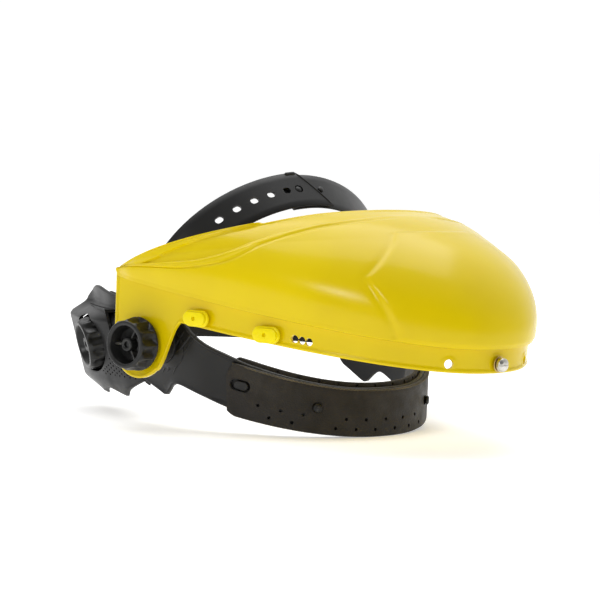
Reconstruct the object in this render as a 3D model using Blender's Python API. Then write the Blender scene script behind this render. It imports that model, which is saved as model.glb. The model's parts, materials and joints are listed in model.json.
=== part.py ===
"""Face-shield brow guard with a ratchet head harness.

Units: every size below is in millimetres and MM turns it into metres.
Frame: -Y is the wearer's front, -X the wearer's right, +Z up; the origin is where the head sits, in the middle
of the head band. Sizes along Y are written from the pivot axis of the brow guard and heights from the guard's
lowest edge; PIVOT_Y and HEAD_Z move them to that origin.
"""
import math

import bmesh
import bpy
from mathutils import Matrix, Vector

MM = 0.001
GAP = 0.35                 # clearance between touching pieces

# --- driving dimensions ---------------------------------------------------------------------------------------
PIVOT_Y = -5.0             # pivot axis in front of the middle of the head band
HEAD_Z = 45.0              # middle of the head band above its lowest edge
PIVOT_Z = 57.0             # pivot axis above the lowest edge
PIVOT_SPLAY = 10.0         # degrees the pivot knobs face forward of straight sideways

# brow guard outline in plan: (x / W)^Q + u^P = 1, with u running from OUTLINE_BACK to the front
OUTLINE_HALF_WIDTH = 122.5
OUTLINE_BACK = 44.0
OUTLINE_FRONT = 195.0
OUTLINE_POWER = 1.6
OUTLINE_ROUND = 2.25
SHELL_WALL = 2.4
SHELL_REAR = 21.0          # rear edge of the side arms, behind the pivot
LEDGE_OUT = 3.2            # how far the dome overhangs the skirt
DOME_BULGE = 3.2           # extra swell of the dome above the ledge
LOBE_RADIUS = 22.0         # round lobe of the skirt about each pivot
RIM_HALF_WIDTH = 119.5
RIM_BACK = 17.0
RIM_DEPTH = 112.0          # the rim's middle lies this far in front of RIM_BACK
RIM_POWER = 2.2
RIM_LOW, RIM_RISE = 104.5, 41.5
LEDGE_STEP = 2.8           # height of the sloping step between skirt and dome

# head harness outline in plan: two half ovals
HARNESS_HALF_WIDTH = 88.0
HARNESS_CENTRE = 12.0
HARNESS_FRONT = 110.0
HARNESS_REAR = 118.0
HARNESS_ROUND = 2.2
BAND_WALL = 2.4
RATCHET_ANGLE = 121.0      # degrees round the head from the front, on the wearer's right
RATCHET_Z = 53.0
RATCHET_TILT = math.radians(15.5)      # the ratchet knob faces this far below level
RACK_HEIGHT = 17.0
TAIL_OUT = 3.5             # the outer tail runs this far outside the inner one
WINDOW_HALF = 5.1

KNOB_RADIUS = 16.8
KNOB_HEIGHT = 13.5
STRAP_WIDTH = 26.7
STRAP_WALL = 1.8
PEG_LENGTH, PEG_WIDTH, PEG_PROUD = 16.0, 9.2, 6.0

# colour, roughness, metallic
LOOKS = {
    "guard_yellow": ((0.78, 0.62, 0.01), 0.28, 0.0),
    "peg_yellow": ((0.88, 0.80, 0.06), 0.35, 0.0),
    "harness_black": ((0.035, 0.036, 0.038), 0.55, 0.0),
    "knob_black": ((0.02, 0.02, 0.02), 0.45, 0.0),
    "sweatband_brown": ((0.045, 0.038, 0.028), 0.8, 0.0),
    "nickel": ((0.72, 0.70, 0.64), 0.3, 1.0),
    "brass": ((0.60, 0.44, 0.18), 0.35, 1.0),
    "rubber_black": ((0.012, 0.012, 0.012), 0.9, 0.0),
    "spring_steel": ((0.55, 0.55, 0.56), 0.35, 1.0),
}


# --- small helpers --------------------------------------------------------------------------------------------
def smooth(a, b, x):
    t = min(max((x - a) / (b - a), 0.0), 1.0)
    return t * t * (3.0 - 2.0 * t)


def mix(a, b, t):
    return a + (b - a) * t


def along(points, x):
    """Straight-line reading of a short list of (x, value) corners, in rising x."""
    if x <= points[0][0]:
        return points[0][1]
    for (x0, v0), (x1, v1) in zip(points, points[1:]):
        if x <= x1:
            return mix(v0, v1, (x - x0) / (x1 - x0))
    return points[-1][1]


def material(slot):
    found = bpy.data.materials.get(slot)
    if found:
        return found
    colour, roughness, metallic = LOOKS[slot]
    made = bpy.data.materials.new(slot)
    made.use_nodes = True
    shader = made.node_tree.nodes["Principled BSDF"]
    shader.inputs["Base Color"].default_value = (*colour, 1.0)
    shader.inputs["Roughness"].default_value = roughness
    shader.inputs["Metallic"].default_value = metallic
    made.diffuse_color = (*colour, 1.0)
    return made


def object_from(name, mesh_build, slot, origin=(0, 0, 0)):
    """Turn a bmesh in millimetres (pivot frame) into an object in metres with its origin at `origin`."""
    shift = Vector((0, PIVOT_Y, -HEAD_Z))
    centre = Vector(origin) + shift
    for vert in mesh_build.verts:
        vert.co = (vert.co + shift - centre) * MM
    bmesh.ops.remove_doubles(mesh_build, verts=mesh_build.verts, dist=1e-7)
    bmesh.ops.recalc_face_normals(mesh_build, faces=mesh_build.faces)
    if mesh_build.calc_volume(signed=True) < 0:
        bmesh.ops.reverse_faces(mesh_build, faces=mesh_build.faces)
    mesh = bpy.data.meshes.new(name)
    mesh_build.to_mesh(mesh)
    mesh_build.free()
    mesh.shade_smooth()
    mesh.set_sharp_from_angle(angle=math.radians(35))
    made = bpy.data.objects.new(name, mesh)
    made.location = centre * MM
    bpy.context.scene.collection.objects.link(made)
    if slot:
        mesh.materials.append(material(slot))
    return made


def loft(rings, closed_rings=True, cap=True):
    """Skin a list of equal-length rings of points; closed rings are capped at both ends."""
    bm = bmesh.new()
    rows = [[bm.verts.new(p) for p in ring] for ring in rings]
    count = len(rows[0])
    last = count if closed_rings else count - 1
    for low, high in zip(rows, rows[1:]):
        for i in range(last):
            j = (i + 1) % count
            bm.faces.new((low[i], low[j], high[j], high[i]))
    if cap:
        bm.faces.new(rows[0])
        bm.faces.new(rows[-1])
    return bm


def frame_matrix(origin, axis, up=(0, 0, 1)):
    """Local Z along `axis`, local X as near to `up` x axis as can be."""
    z = Vector(axis).normalized()
    x = Vector(up).cross(z)
    if x.length < 1e-6:
        x = Vector((1, 0, 0))
    x.normalize()
    y = z.cross(x)
    place = Matrix.Identity(4)
    for row in range(3):
        place[row][0], place[row][1], place[row][2], place[row][3] = x[row], y[row], z[row], origin[row]
    return place


def ring_points(radius, height, steps, wave=0.0, lobes=12):
    """A round ring in the local frame, with an optional scalloped edge."""
    points = []
    for i in range(steps):
        a = 2 * math.pi * i / steps
        r = radius - wave * (0.5 - 0.5 * math.cos(lobes * a)) ** 2
        points.append(Vector((r * math.cos(a), r * math.sin(a), height)))
    return points


def turned(profile, steps=32):
    """Solid of revolution about local Z; profile is (radius, height, wave), from outside bottom, never closed."""
    rings = [ring_points(p[0], p[1], steps, p[2] if len(p) > 2 else 0.0) for p in profile]
    return loft(rings)


def tube_turned(profile, steps=32):
    """Ring-shaped solid of revolution: the closed profile runs round the section."""
    bm = bmesh.new()
    rows = [[bm.verts.new(p) for p in ring_points(q[0], q[1], steps, q[2] if len(q) > 2 else 0.0)]
            for q in profile]
    for k, low in enumerate(rows):
        high = rows[(k + 1) % len(rows)]
        for i in range(steps):
            j = (i + 1) % steps
            bm.faces.new((low[i], low[j], high[j], high[i]))
    return bm


def prism(outline, bottom, top):
    """Extrude a flat outline (local X, Y) between two heights."""
    return loft([[Vector((x, y, bottom)) for x, y in outline], [Vector((x, y, top)) for x, y in outline]])


def oval(length, width, steps=8):
    """Stadium outline: round ends on a straight middle."""
    r, half = width / 2, (length - width) / 2
    points = []
    for side in (1, -1):
        for i in range(steps + 1):
            a = -math.pi / 2 + math.pi * i / steps
            points.append((side * (half + r * math.cos(a)), side * r * math.sin(a)))
    return points


def placed(bm, place):
    bm.transform(place)
    return bm


def cutter(name, bm):
    tool = object_from(name, bm, None)
    tool.display_type = "WIRE"
    tool.hide_render = True
    return tool


def boolean(target, tool, operation):
    step = target.modifiers.new(tool.name, "BOOLEAN")
    step.operation = operation
    step.object = tool
    step.solver = "EXACT"


def cut(target, tool):
    boolean(target, tool, "DIFFERENCE")


def add(target, tool):
    boolean(target, tool, "UNION")


# --- shared shapes --------------------------------------------------------------------------------------------
def guard_outline(beta, out=0.0):
    """Plan point of the brow guard at angle beta (radians, + to the wearer's left), pushed out by `out`."""
    u = math.cos(beta) ** (2.0 / OUTLINE_POWER)
    x = (OUTLINE_HALF_WIDTH + out) * math.copysign(abs(math.sin(beta)) ** (2.0 / OUTLINE_ROUND), beta)
    y = OUTLINE_BACK - (OUTLINE_FRONT + OUTLINE_BACK + out) * u
    return x, y


def guard_beta(y):
    """Angle of the outline point at distance y behind the pivot axis, on the wearer's left."""
    u = (OUTLINE_BACK - y) / (OUTLINE_FRONT + OUTLINE_BACK)
    return math.acos(u ** (OUTLINE_POWER / 2.0))


def guard_normal(beta):
    x0, y0 = guard_outline(beta - 0.01)
    x1, y1 = guard_outline(beta + 0.01)
    side = Vector((y1 - y0, -(x1 - x0), 0)).normalized()
    return side if side.dot(Vector((*guard_outline(beta), 0))) > 0 else -side


def skirt_low(y):
    """Lower edge of the skirt, with the round lobe about the pivot."""
    straight = 76.3 + 0.12 * y
    if y > -15.0:
        return PIVOT_Z - math.sqrt(max(LOBE_RADIUS ** 2 - y * y, 0.0)) if y < SHELL_REAR else PIVOT_Z - 6.5
    lobe = PIVOT_Z - math.sqrt(LOBE_RADIUS ** 2 - 15.0 ** 2)
    return mix(lobe, straight, smooth(-15.0, -34.0, y)) if y > -34.0 else straight


def ledge_height(y):
    return 94.5 + 0.14 * y


def rim_point(gamma):
    v = math.cos(gamma) ** (2.0 / RIM_POWER)
    return Vector((RIM_HALF_WIDTH * math.sin(gamma), RIM_BACK - RIM_DEPTH * v, RIM_LOW + RIM_RISE * v ** 0.8))


def harness_line(angle):
    a = math.radians(angle)
    depth = HARNESS_FRONT if math.cos(a) > 0 else HARNESS_REAR
    across = math.copysign(abs(math.sin(a)) ** (2.0 / HARNESS_ROUND), math.sin(a))
    forward = math.copysign(abs(math.cos(a)) ** (2.0 / HARNESS_ROUND), math.cos(a))
    return Vector((-HARNESS_HALF_WIDTH * across, HARNESS_CENTRE - depth * forward, 0))


def harness_point(angle, out=0.0):
    """Plan point of the head band, angle in degrees from the front towards the wearer's right."""
    along_band = harness_line(angle + 1.5) - harness_line(angle - 1.5)
    normal = Vector((-along_band.y, along_band.x, 0)).normalized()
    return harness_line(angle) + normal * out, normal


PIVOT_X = guard_outline(guard_beta(0.0))[0]
SPLAY = math.radians(PIVOT_SPLAY)
SEAT_X = PIVOT_X - SHELL_WALL - 15.0     # centre of the ball seat on the pivot axis
SEAT_RADIUS = 11.0


def pivot_side(side):
    """Matrix whose local Z is the outward axis of a pivot knob; the origin is the ball seat's centre."""
    return frame_matrix((side * SEAT_X, 0, PIVOT_Z), (side * math.cos(SPLAY), -math.sin(SPLAY), 0))


SEAT_TO_SKIN = (PIVOT_X - SEAT_X) / math.cos(SPLAY)      # ball centre to the outer skin, along the knob axis


# --- brow guard -----------------------------------------------------------------------------------------------
def shell_skin():
    """Grid of points of the guard's outer skin: columns round the wearer, rows from skirt edge to rim."""
    rear = guard_beta(SHELL_REAR)
    lobe_start = guard_beta(-36.0)
    fine = [mix(lobe_start, rear, i / 9) for i in range(10)]
    coarse = [lobe_start * i / 12 for i in range(-11, 12)]
    columns = []
    for beta in [-b for b in reversed(fine)] + coarse + fine:
        y = guard_outline(beta)[1]
        low, ledge = skirt_low(y), ledge_height(y)
        column = []
        for t in (0.0, 0.5, 1.0):
            tuck = smooth(16.0, 40.0, abs(y)) * (1 - t)
            column.append(Vector((*guard_outline(beta, -tuck), mix(low, ledge, t))))
        top = rim_point(math.copysign(math.pi / 2 * (abs(beta) / rear) ** 1.05, beta))
        base = Vector((*guard_outline(beta, LEDGE_OUT), ledge + LEDGE_STEP))
        for k in range(9):
            s = math.radians(86) * k / 8
            point = base.lerp(Vector((top.x, top.y, base.z)), 1 - math.cos(s) ** 0.85)
            point.z = mix(base.z, top.z, math.sin(s) / math.sin(math.radians(86)))
            swell = DOME_BULGE * math.sin(math.pi * min(k * 0.2, 1.0)) * math.sqrt(math.cos(beta))
            column.append(point + guard_normal(beta) * swell)
        columns.append(column)
    return columns


def inward_offset(grid, wall):
    """Copy of a grid of points moved back by `wall` along the grid's own normals."""
    moved = []
    for i, column in enumerate(grid):
        before, after = grid[max(i - 1, 0)], grid[min(i + 1, len(grid) - 1)]
        line = []
        for k, point in enumerate(column):
            up = column[min(k + 1, len(column) - 1)] - column[max(k - 1, 0)]
            normal = (after[k] - before[k]).cross(up).normalized()
            line.append(point - normal * wall)
        moved.append(line)
    return moved


def make_brow_guard():
    outer = shell_skin()
    inner = inward_offset(outer, SHELL_WALL)
    rings = [out + list(reversed(inn)) for out, inn in zip(outer, inner)]
    guard = object_from("brow_guard", loft(rings), "guard_yellow", (0, 0, PIVOT_Z))
    for side in (-1, 1):
        bore = placed(turned([(4.3, 2.0), (4.3, 26.0)], 20), pivot_side(side))
        cut(guard, cutter(f"pivot_bore_{side}", bore))
        for n, (y, z) in enumerate(PEG_SPOTS):
            hole = placed(prism(oval(8.4, 5.0, 5), -8, 8), peg_place(side, y, z))
            cut(guard, cutter(f"peg_hole_{side}_{n}", hole))
        for n in range(3):
            spot = wall_place(side * guard_beta(-112.3 - 4.3 * n), 68.9 - 0.6 * n)
            cut(guard, cutter(f"slot_hole_{side}_{n}", placed(turned([(2.4, -8), (2.4, 8)], 14), spot)))
        spot = wall_place(side * guard_beta(FRONT_HOLE_SPOT[0]), FRONT_HOLE_SPOT[1])
        cut(guard, cutter(f"front_hole_{side}", placed(turned([(2.8, -8), (2.8, 8)], 16), spot)))
    cut(guard, cutter("screw_bore", placed(turned([(2.3, -8), (2.3, 8)], 16), wall_place(0.0, SCREW_Z))))
    return guard


def wall_place(beta, z, out=0.0):
    """Matrix on the skirt: local Z points out through the wall, local X runs along it, level."""
    x, y = guard_outline(beta, out)
    return frame_matrix((x, y, z), guard_normal(beta))


PEG_SPOTS = ((-47.5, 76.4), (-96.0, 70.4))
SCREW_Z = 58.5
FRONT_HOLE_SPOT = (-187.0, 59.0)


def peg_place(side, y, z):
    return wall_place(side * guard_beta(y), z)


def make_window_peg(name, side, y, z):
    """Oval button outside, oval neck through the wall, cross bar inside: a quarter turn locks the window."""
    place = peg_place(side, y, z)
    head = prism(oval(PEG_LENGTH, PEG_WIDTH), 1.6, PEG_PROUD)
    peg = object_from(name, placed(head, place), "peg_yellow", place.translation)
    neck = placed(turned([(2.1, -6.2), (2.1, 2.2)], 16), place)
    add(peg, cutter(f"{name}_neck", neck))
    bar = placed(prism(oval(9.6, 4.4, 5), -8.0, -6.0), place)
    add(peg, cutter(f"{name}_bar", bar))
    dimple = placed(turned([(1.5, PEG_PROUD - 0.7), (1.5, PEG_PROUD + 1)], 14), place)
    cut(peg, cutter(f"{name}_dimple", dimple))
    return peg


def make_front_screw():
    place = wall_place(0.0, SCREW_Z)
    profile = [(2.0, -7.5), (2.0, 2.6), (4.3, 2.9), (4.3, 5.2), (3.2, 6.4)]
    screw = object_from("front_screw", placed(turned(profile, 24), place), "nickel", place.translation)
    slot = placed(prism([(-6, -0.5), (6, -0.5), (6, 0.5), (-6, 0.5)], 5.2, 8.0), place)
    cut(screw, cutter("front_screw_slot", slot))
    washer = placed(tube_turned([(2.5, 1.5), (4.9, 1.5), (4.9, 2.3), (2.5, 2.3)], 24), place)
    object_from("front_screw_washer", washer, "brass", place.translation)
    wall = SHELL_WALL + 2.2
    nut = placed(tube_turned([(2.4, -wall - 2.6), (4.2, -wall - 2.6), (4.2, -wall), (2.4, -wall)], 6), place)
    object_from("front_nut", nut, "brass", place.translation)


# --- pivots ---------------------------------------------------------------------------------------------------
def make_pivot(side, word):
    place = pivot_side(side)
    skin = SEAT_TO_SKIN
    base = skin + 2.6
    top = base + KNOB_HEIGHT
    outer = [(KNOB_RADIUS, base, 1.8), (KNOB_RADIUS, base + 3, 1.8), (KNOB_RADIUS - 1.4, top - 1.2, 1.2),
             (KNOB_RADIUS - 2.2, top, 0.0)]
    cup = [(KNOB_RADIUS - 5.0, top, 0.0), (KNOB_RADIUS - 6.4, top - 8.0, 0.0), (6.0, top - 8.0, 0.0),
           (4.6, top - 2.0, 0.0), (2.0, top - 2.0, 0.0), (2.0, top - 3.5, 0.0)]
    knob = object_from(f"{word}_pivot_knob", placed(turned(outer + cup, 48), place), "knob_black",
                       place @ Vector((0, 0, skin)))
    well = placed(turned([(4.1, base - 2.0), (4.1, top - 5.5)], 20), place)
    cut(knob, cutter(f"{word}_knob_well", well))
    for n, angle in enumerate((180, 60, -60)):
        spoke = prism([(4.4, -0.8), (KNOB_RADIUS - 5.6, -0.8), (KNOB_RADIUS - 5.6, 0.8), (4.4, 0.8)],
                      top - 8.5, top - 4.2)
        spoke.transform(Matrix.Rotation(math.radians(angle), 4, "Z"))
        add(knob, cutter(f"{word}_knob_spoke_{n}", placed(spoke, place)))
    insert = tube_turned([(2.75, base + 0.3), (3.8, base + 0.3), (3.8, top - 5.9), (2.75, top - 5.9)], 20)
    object_from(f"{word}_knob_insert", placed(insert, place), "brass", place @ Vector((0, 0, skin)))
    washer = tube_turned([(4.4, skin + 0.3), (13.5, skin + 0.3), (13.5, base - 0.3), (4.4, base - 0.3)], 24)
    object_from(f"{word}_pivot_washer", placed(washer, place), "nickel", place @ Vector((0, 0, skin)))
    make_ball_seat(side, word, place, skin)
    bolt = turned([(5.2, 0.4), (5.2, 2.6), (2.45, 3.0), (2.45, top - 6.4)], 20)
    object_from(f"{word}_pivot_bolt", placed(bolt, place), "nickel", place @ Vector((0, 0, skin)))


def make_ball_seat(side, word, place, skin):
    """Friction cup between the shell and the harness ball: flat outside, hollow ball face inside."""
    face = skin - SHELL_WALL / math.cos(SPLAY) - 1.0
    radius = SEAT_RADIUS + 0.4
    profile = [(4.4, face), (12.5, face), (12.5, face - 2.0)]
    for angle in (57, 42, 27):
        a = math.radians(angle)
        profile.append((radius * math.sin(a), radius * math.cos(a)))
    seat = placed(tube_turned(profile, 24), place)
    object_from(f"{word}_friction_cup", seat, "rubber_black", place @ Vector((0, 0, skin)))


def make_pivot_ball(side, word):
    """Round boss on the harness plate; its outer end is a ball about the pivot axis."""
    level = frame_matrix((side * SEAT_X, 0, PIVOT_Z), (side, 0, 0))
    profile = [(13.5, -3.6), (13.5, -1.2), (SEAT_RADIUS, 0.6)]
    for angle in (75, 55, 35):
        a = math.radians(angle)
        profile.append((SEAT_RADIUS * math.sin(a), SEAT_RADIUS * math.cos(a)))
    profile += [(6.1, 3.4), (6.1, -3.6)]
    ball = placed(tube_turned(profile, 24), level)
    object_from(f"{word}_pivot_ball", ball, "harness_black", (side * SEAT_X, 0, PIVOT_Z))


# --- head band ------------------------------------------------------------------------------------------------
LOW_EDGE = ((-98, 7.0), (-70, 12.0), (-42, 19.0), (-20, 25.8), (-9, 29.5), (-4.6, 30.5), (0, 29.0), (6.3, 21.3),
            (9, 22.0), (30, 31.0), (50, 40.0), (62, 44.5))
HIGH_EDGE = ((-98, 34.0), (-75, 41.0), (-52, 48.0), (-44, 52.0), (-34, 57.0), (-28, 61.0), (-22, 68.0),
             (-14, 82.0), (0, 92.0), (20, 96.0), (32, 90.0), (44, 76.0), (62, 61.5))


def plate_lean(angle, z):
    """The side plates flare outward above their hooks, and the ratchet leans back about its own height."""
    turn = angle % 360
    round_side = 180 - abs(180 - turn)
    plate = smooth(52, 74, round_side) * (1 - smooth(99, 113, round_side))
    ratchet = smooth(99, 113, turn) * (1 - smooth(143, 165, turn))
    return 0.34 * max(min(z, 80.0) - 24.0, 0.0) * plate + math.tan(RATCHET_TILT) * (z - RATCHET_Z) * ratchet


def band_column(angle, wall=BAND_WALL, out=0.0):
    _, y = harness_point(angle)[0][:2]
    round_side = 180 - abs(180 - abs(angle) % 360)
    tail = smooth(98, 106, round_side)
    low = mix(along(LOW_EDGE, y), RATCHET_Z - RACK_HEIGHT / 2, tail)
    high = mix(along(HIGH_EDGE, y), RATCHET_Z + RACK_HEIGHT / 2, tail)
    ring = []
    steps = 4
    for face, direction in ((out + wall / 2, 1), (out - wall / 2, -1)):
        for k in range(steps + 1):
            z = mix(low, high, (k if direction > 0 else steps - k) / steps)
            point, _ = harness_point(angle, face + plate_lean(angle, z))
            ring.append(Vector((point.x, point.y, z)))
    return ring


def rack_window(offset, toothed):
    """Slot of a toothed tail; one long edge carries the teeth that the pinion drives."""
    rings = []
    steps = 20
    for k in range(steps + 1):
        angle = RATCHET_ANGLE - 9.9 + 19.9 * k / steps
        edge = WINDOW_HALF + (0.9 if k % 2 else 0.0)
        low = -(edge if toothed < 0 else WINDOW_HALF + 0.9)
        high = edge if toothed > 0 else WINDOW_HALF + 0.9
        ring = []
        for out, rise in ((-1.7, low), (1.7, low), (1.7, high), (-1.7, high)):
            z = RATCHET_Z + rise
            point, _ = harness_point(angle, offset + out + plate_lean(angle, z))
            ring.append(Vector((point.x, point.y, z)))
        rings.append(ring)
    return loft(rings)


def make_headband():
    """One moulding: front strip, both side plates and the two toothed tails that cross in the ratchet."""
    start, stop = RATCHET_ANGLE - 360 - 17, RATCHET_ANGLE + 15
    fine = list(range(61, 124, 3))
    angles = [start] + list(range(int(start) + 4, -124, 5)) + [-a for a in reversed(fine)]
    angles += list(range(-54, 60, 6)) + fine + [127, stop]
    rings = [band_column(a, out=TAIL_OUT * smooth(-200, -222, a)) for a in angles]
    band = object_from("headband", loft(rings), "harness_black")
    for side in (-1, 1):
        level = frame_matrix((side * SEAT_X, 0, PIVOT_Z), (side, 0, 0))
        cut(band, cutter(f"plate_bore_{side}", placed(turned([(14.0, -12), (14.0, 6)], 28), level)))
    for n, (offset, toothed) in enumerate(((0.0, -1), (TAIL_OUT, 1))):
        cut(band, cutter(f"rack_window_{n}", rack_window(offset, toothed)))
    for side in (-1, 1):
        for n, angle in enumerate(BAND_PEG_ANGLES):
            spot = band_place(side * -angle, BAND_PEG_Z[n])
            peg = placed(turned([(2.0, 0.0), (2.0, 5.4), (2.9, 5.6), (2.9, 6.8), (1.6, 7.4)], 16), spot)
            add(band, cutter(f"band_peg_{side}_{n}", peg))
    return band


BAND_PEG_ANGLES = (30.0, 67.0)
BAND_PEG_Z = (20.5, 36.0)


def band_place(angle, z, out=0.0):
    point, normal = harness_point(angle, out + plate_lean(angle, z))
    return frame_matrix((point.x, point.y, z), normal)


def make_sweatband():
    """Soft strip wrapped over the front of the head band: one face inside, one outside, folded over the foot."""
    angles = [a for a in range(-62, 63, 4)]
    rings = []
    for a in angles:
        y = harness_point(a)[0].y
        low = 3.5 + 0.215 * (y + 98)
        high = 37.0 + 0.285 * (y + 98)
        flap = high - 3.5
        inner, outer, hole = -4.4, 4.8, BAND_WALL / 2 + 0.6
        foot = low + 1.9
        section = [(inner, low), (outer, low), (outer, flap), (hole, flap)]
        section += [(hole, mix(flap, foot, k / 4)) for k in (1, 2, 3)]
        section += [(hole, foot), (-hole, foot)]
        section += [(-hole, mix(foot, high, k / 4)) for k in (1, 2, 3)]
        section += [(-hole, high), (inner, high)]
        rings.append([Vector((*harness_point(a, out + plate_lean(a, z))[0][:2], z)) for out, z in section])
    pad = object_from("sweatband", loft(rings), "sweatband_brown")
    for side in (-1, 1):
        spot = band_place(side * -BAND_PEG_ANGLES[0], BAND_PEG_Z[0])
        hole = placed(turned([(3.3, 0.5), (3.3, 9.0)], 16), spot)
        cut(pad, cutter(f"sweatband_hole_{side}", hole))
    return pad


# --- crown straps ---------------------------------------------------------------------------------------------
ANCHOR_TURN = 0.9          # where along the strap its anchor stud sits
STRAP_FOOT = Vector((-99.0, 5.0, 73.2))
STRAP_CROWN_Y, STRAP_TOP_Z = -24.0, 154.5
STRAP_TIP = math.radians(49.7)         # how far the crown of the strap faces forward of straight up
STRAP_END_SLANT = 0.07
STUD_TURNS = (-0.074, 0.06)


def strap_centre(a):
    """Middle of the strap at angle a, from -90 degrees at the right foot through 0 at the crown."""
    reach = math.copysign(abs(math.sin(a)) ** 1.03, a)
    rise = abs(math.cos(a)) ** 0.915
    return Vector((-STRAP_FOOT.x * reach, mix(STRAP_FOOT.y, STRAP_CROWN_Y, rise ** 1.5),
                   mix(STRAP_FOOT.z, STRAP_TOP_Z, rise)))


def strap_frame(turn, lift=0.0):
    """Point, across and outward directions of the crown strap; turn runs -1 (right plate) to 1 (left plate)."""
    a = turn * math.pi / 2
    centre = strap_centre(a)
    tangent = (strap_centre(a + 0.004) - centre).normalized()
    across = Vector((0, 1, 0)) - tangent * tangent.y
    across.normalize()
    outward = tangent.cross(across)
    if outward.dot(centre - Vector((0, 0, 90))) < 0:
        outward = -outward
    tip = STRAP_TIP * max(math.cos(a), 0.0) ** 0.451
    turned_out = outward * math.cos(tip) - across * math.sin(tip)
    turned_across = across * math.cos(tip) + outward * math.sin(tip)
    return centre + turned_out * lift, turned_across, turned_out


def make_strap(name, start, stop, lift, slant=0.0):
    """One half of the crown strap; slant turns its free end."""
    rings = []
    steps = 28
    for k in range(steps + 1):
        lean = slant * smooth(0.72, 1.0, k / steps)
        ring = []
        for across_sign, out_sign in ((-1, -1), (1, -1), (1, 1), (-1, 1)):
            point, across, out = strap_frame(mix(start, stop, k / steps) - lean * across_sign, lift)
            ring.append(point + across * across_sign * STRAP_WIDTH / 2 + out * out_sign * STRAP_WALL / 2)
        rings.append(ring)
    return object_from(name, loft(rings), "harness_black")


def strap_hole(turn, lift, radius=2.5, depth=4.0):
    point, across, out = strap_frame(turn, lift)
    return placed(turned([(radius, -depth), (radius, depth)], 14), frame_matrix(point, out, across))


def make_crown_straps():
    right = make_strap("crown_strap_right", -0.985, 0.02, 1.6, STRAP_END_SLANT)
    for n in range(5):
        cut(right, cutter(f"strap_hole_{n}", strap_hole(-0.484 + 0.0952 * n - 0.0022 * n * n, 1.6)))
    cut(right, cutter("strap_stud_hole", strap_hole(STUD_TURNS[0], 1.6, 2.75)))
    left = make_strap("crown_strap_left", 0.985, -0.14, -1.0)
    for n, turn in enumerate(STUD_TURNS):
        point, across, out = strap_frame(turn, -1.0)
        stud = turned([(1.9, 0.3), (1.9, 2.4), (2.3, 2.9), (1.5, 3.5)], 14)
        add(left, cutter(f"strap_stud_{n}", placed(stud, frame_matrix(point, out, across))))


# --- ratchet --------------------------------------------------------------------------------------------------
HOUSING_SPREAD = 14.0      # degrees either side of the knob
HOUSING_HALF = 20.0


def rear_sweep(section, first, last, steps=12):
    """Sweep a section of (outward, height above the knob) corners round the back of the head band."""
    rings = []
    for k in range(steps + 1):
        angle = mix(first, last, k / steps)
        ring = []
        for out, rise in section(angle):
            z = RATCHET_Z + rise
            point, _ = harness_point(angle, out + plate_lean(angle, z))
            ring.append(Vector((point.x, point.y, z)))
        rings.append(ring)
    return loft(rings)


def ratchet_place(out=0.0, sideways=0.0, rise=0.0):
    """Matrix at the ratchet: local Z is the knob's outward axis, local Y runs up the housing."""
    point, normal = harness_point(RATCHET_ANGLE)
    axis = normal * math.cos(RATCHET_TILT) - Vector((0, 0, math.sin(RATCHET_TILT)))
    place = frame_matrix((point.x, point.y, RATCHET_Z), axis)
    return place @ Matrix.Translation((sideways, rise, out))


SCREW_SPOTS = ((-13.0, 14.0), (13.0, -14.0))


def make_ratchet():
    first, last = RATCHET_ANGLE - HOUSING_SPREAD, RATCHET_ANGLE + HOUSING_SPREAD
    h, w = HOUSING_HALF, 2.0
    channel = [(10.0, -h), (10.0, h), (-2.3, h), (-2.3, h - w), (8.0, h - w), (8.0, w - h), (-2.3, w - h), (-2.3, -h)]
    housing = object_from("ratchet_housing", rear_sweep(lambda a: channel, first, last), "harness_black")
    cover = object_from("ratchet_cover", rear_sweep(lambda a: [(-4.8, -h), (-4.8, h), (-2.7, h), (-2.7, -h)],
                                                    first, last), "harness_black")
    for n, (sideways, rise) in enumerate(SCREW_SPOTS):
        spot = ratchet_place(0, sideways, rise)
        add(housing, cutter(f"boss_{n}", placed(turned([(3.0, -0.9), (3.0, 9.0)], 16), spot)))
        cut(housing, cutter(f"boss_bore_{n}", placed(turned([(1.8, -8), (1.8, 6.4)], 14), spot)))
        cut(cover, cutter(f"cover_bore_{n}", placed(turned([(1.8, -9), (1.8, 2)], 14), spot)))
        screw = placed(turned([(2.9, -8.0), (2.9, -6.7), (1.35, -6.5), (1.35, 6.0)], 14), spot)
        object_from(f"ratchet_screw_{('upper', 'lower')[n]}", screw, "nickel", spot.translation)
    bore = placed(turned([(4.3, 3), (4.3, 16)], 20), ratchet_place())
    cut(housing, cutter("housing_bore", bore))
    make_ratchet_knob()
    make_detent_spring()
    make_nape_pad()


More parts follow.
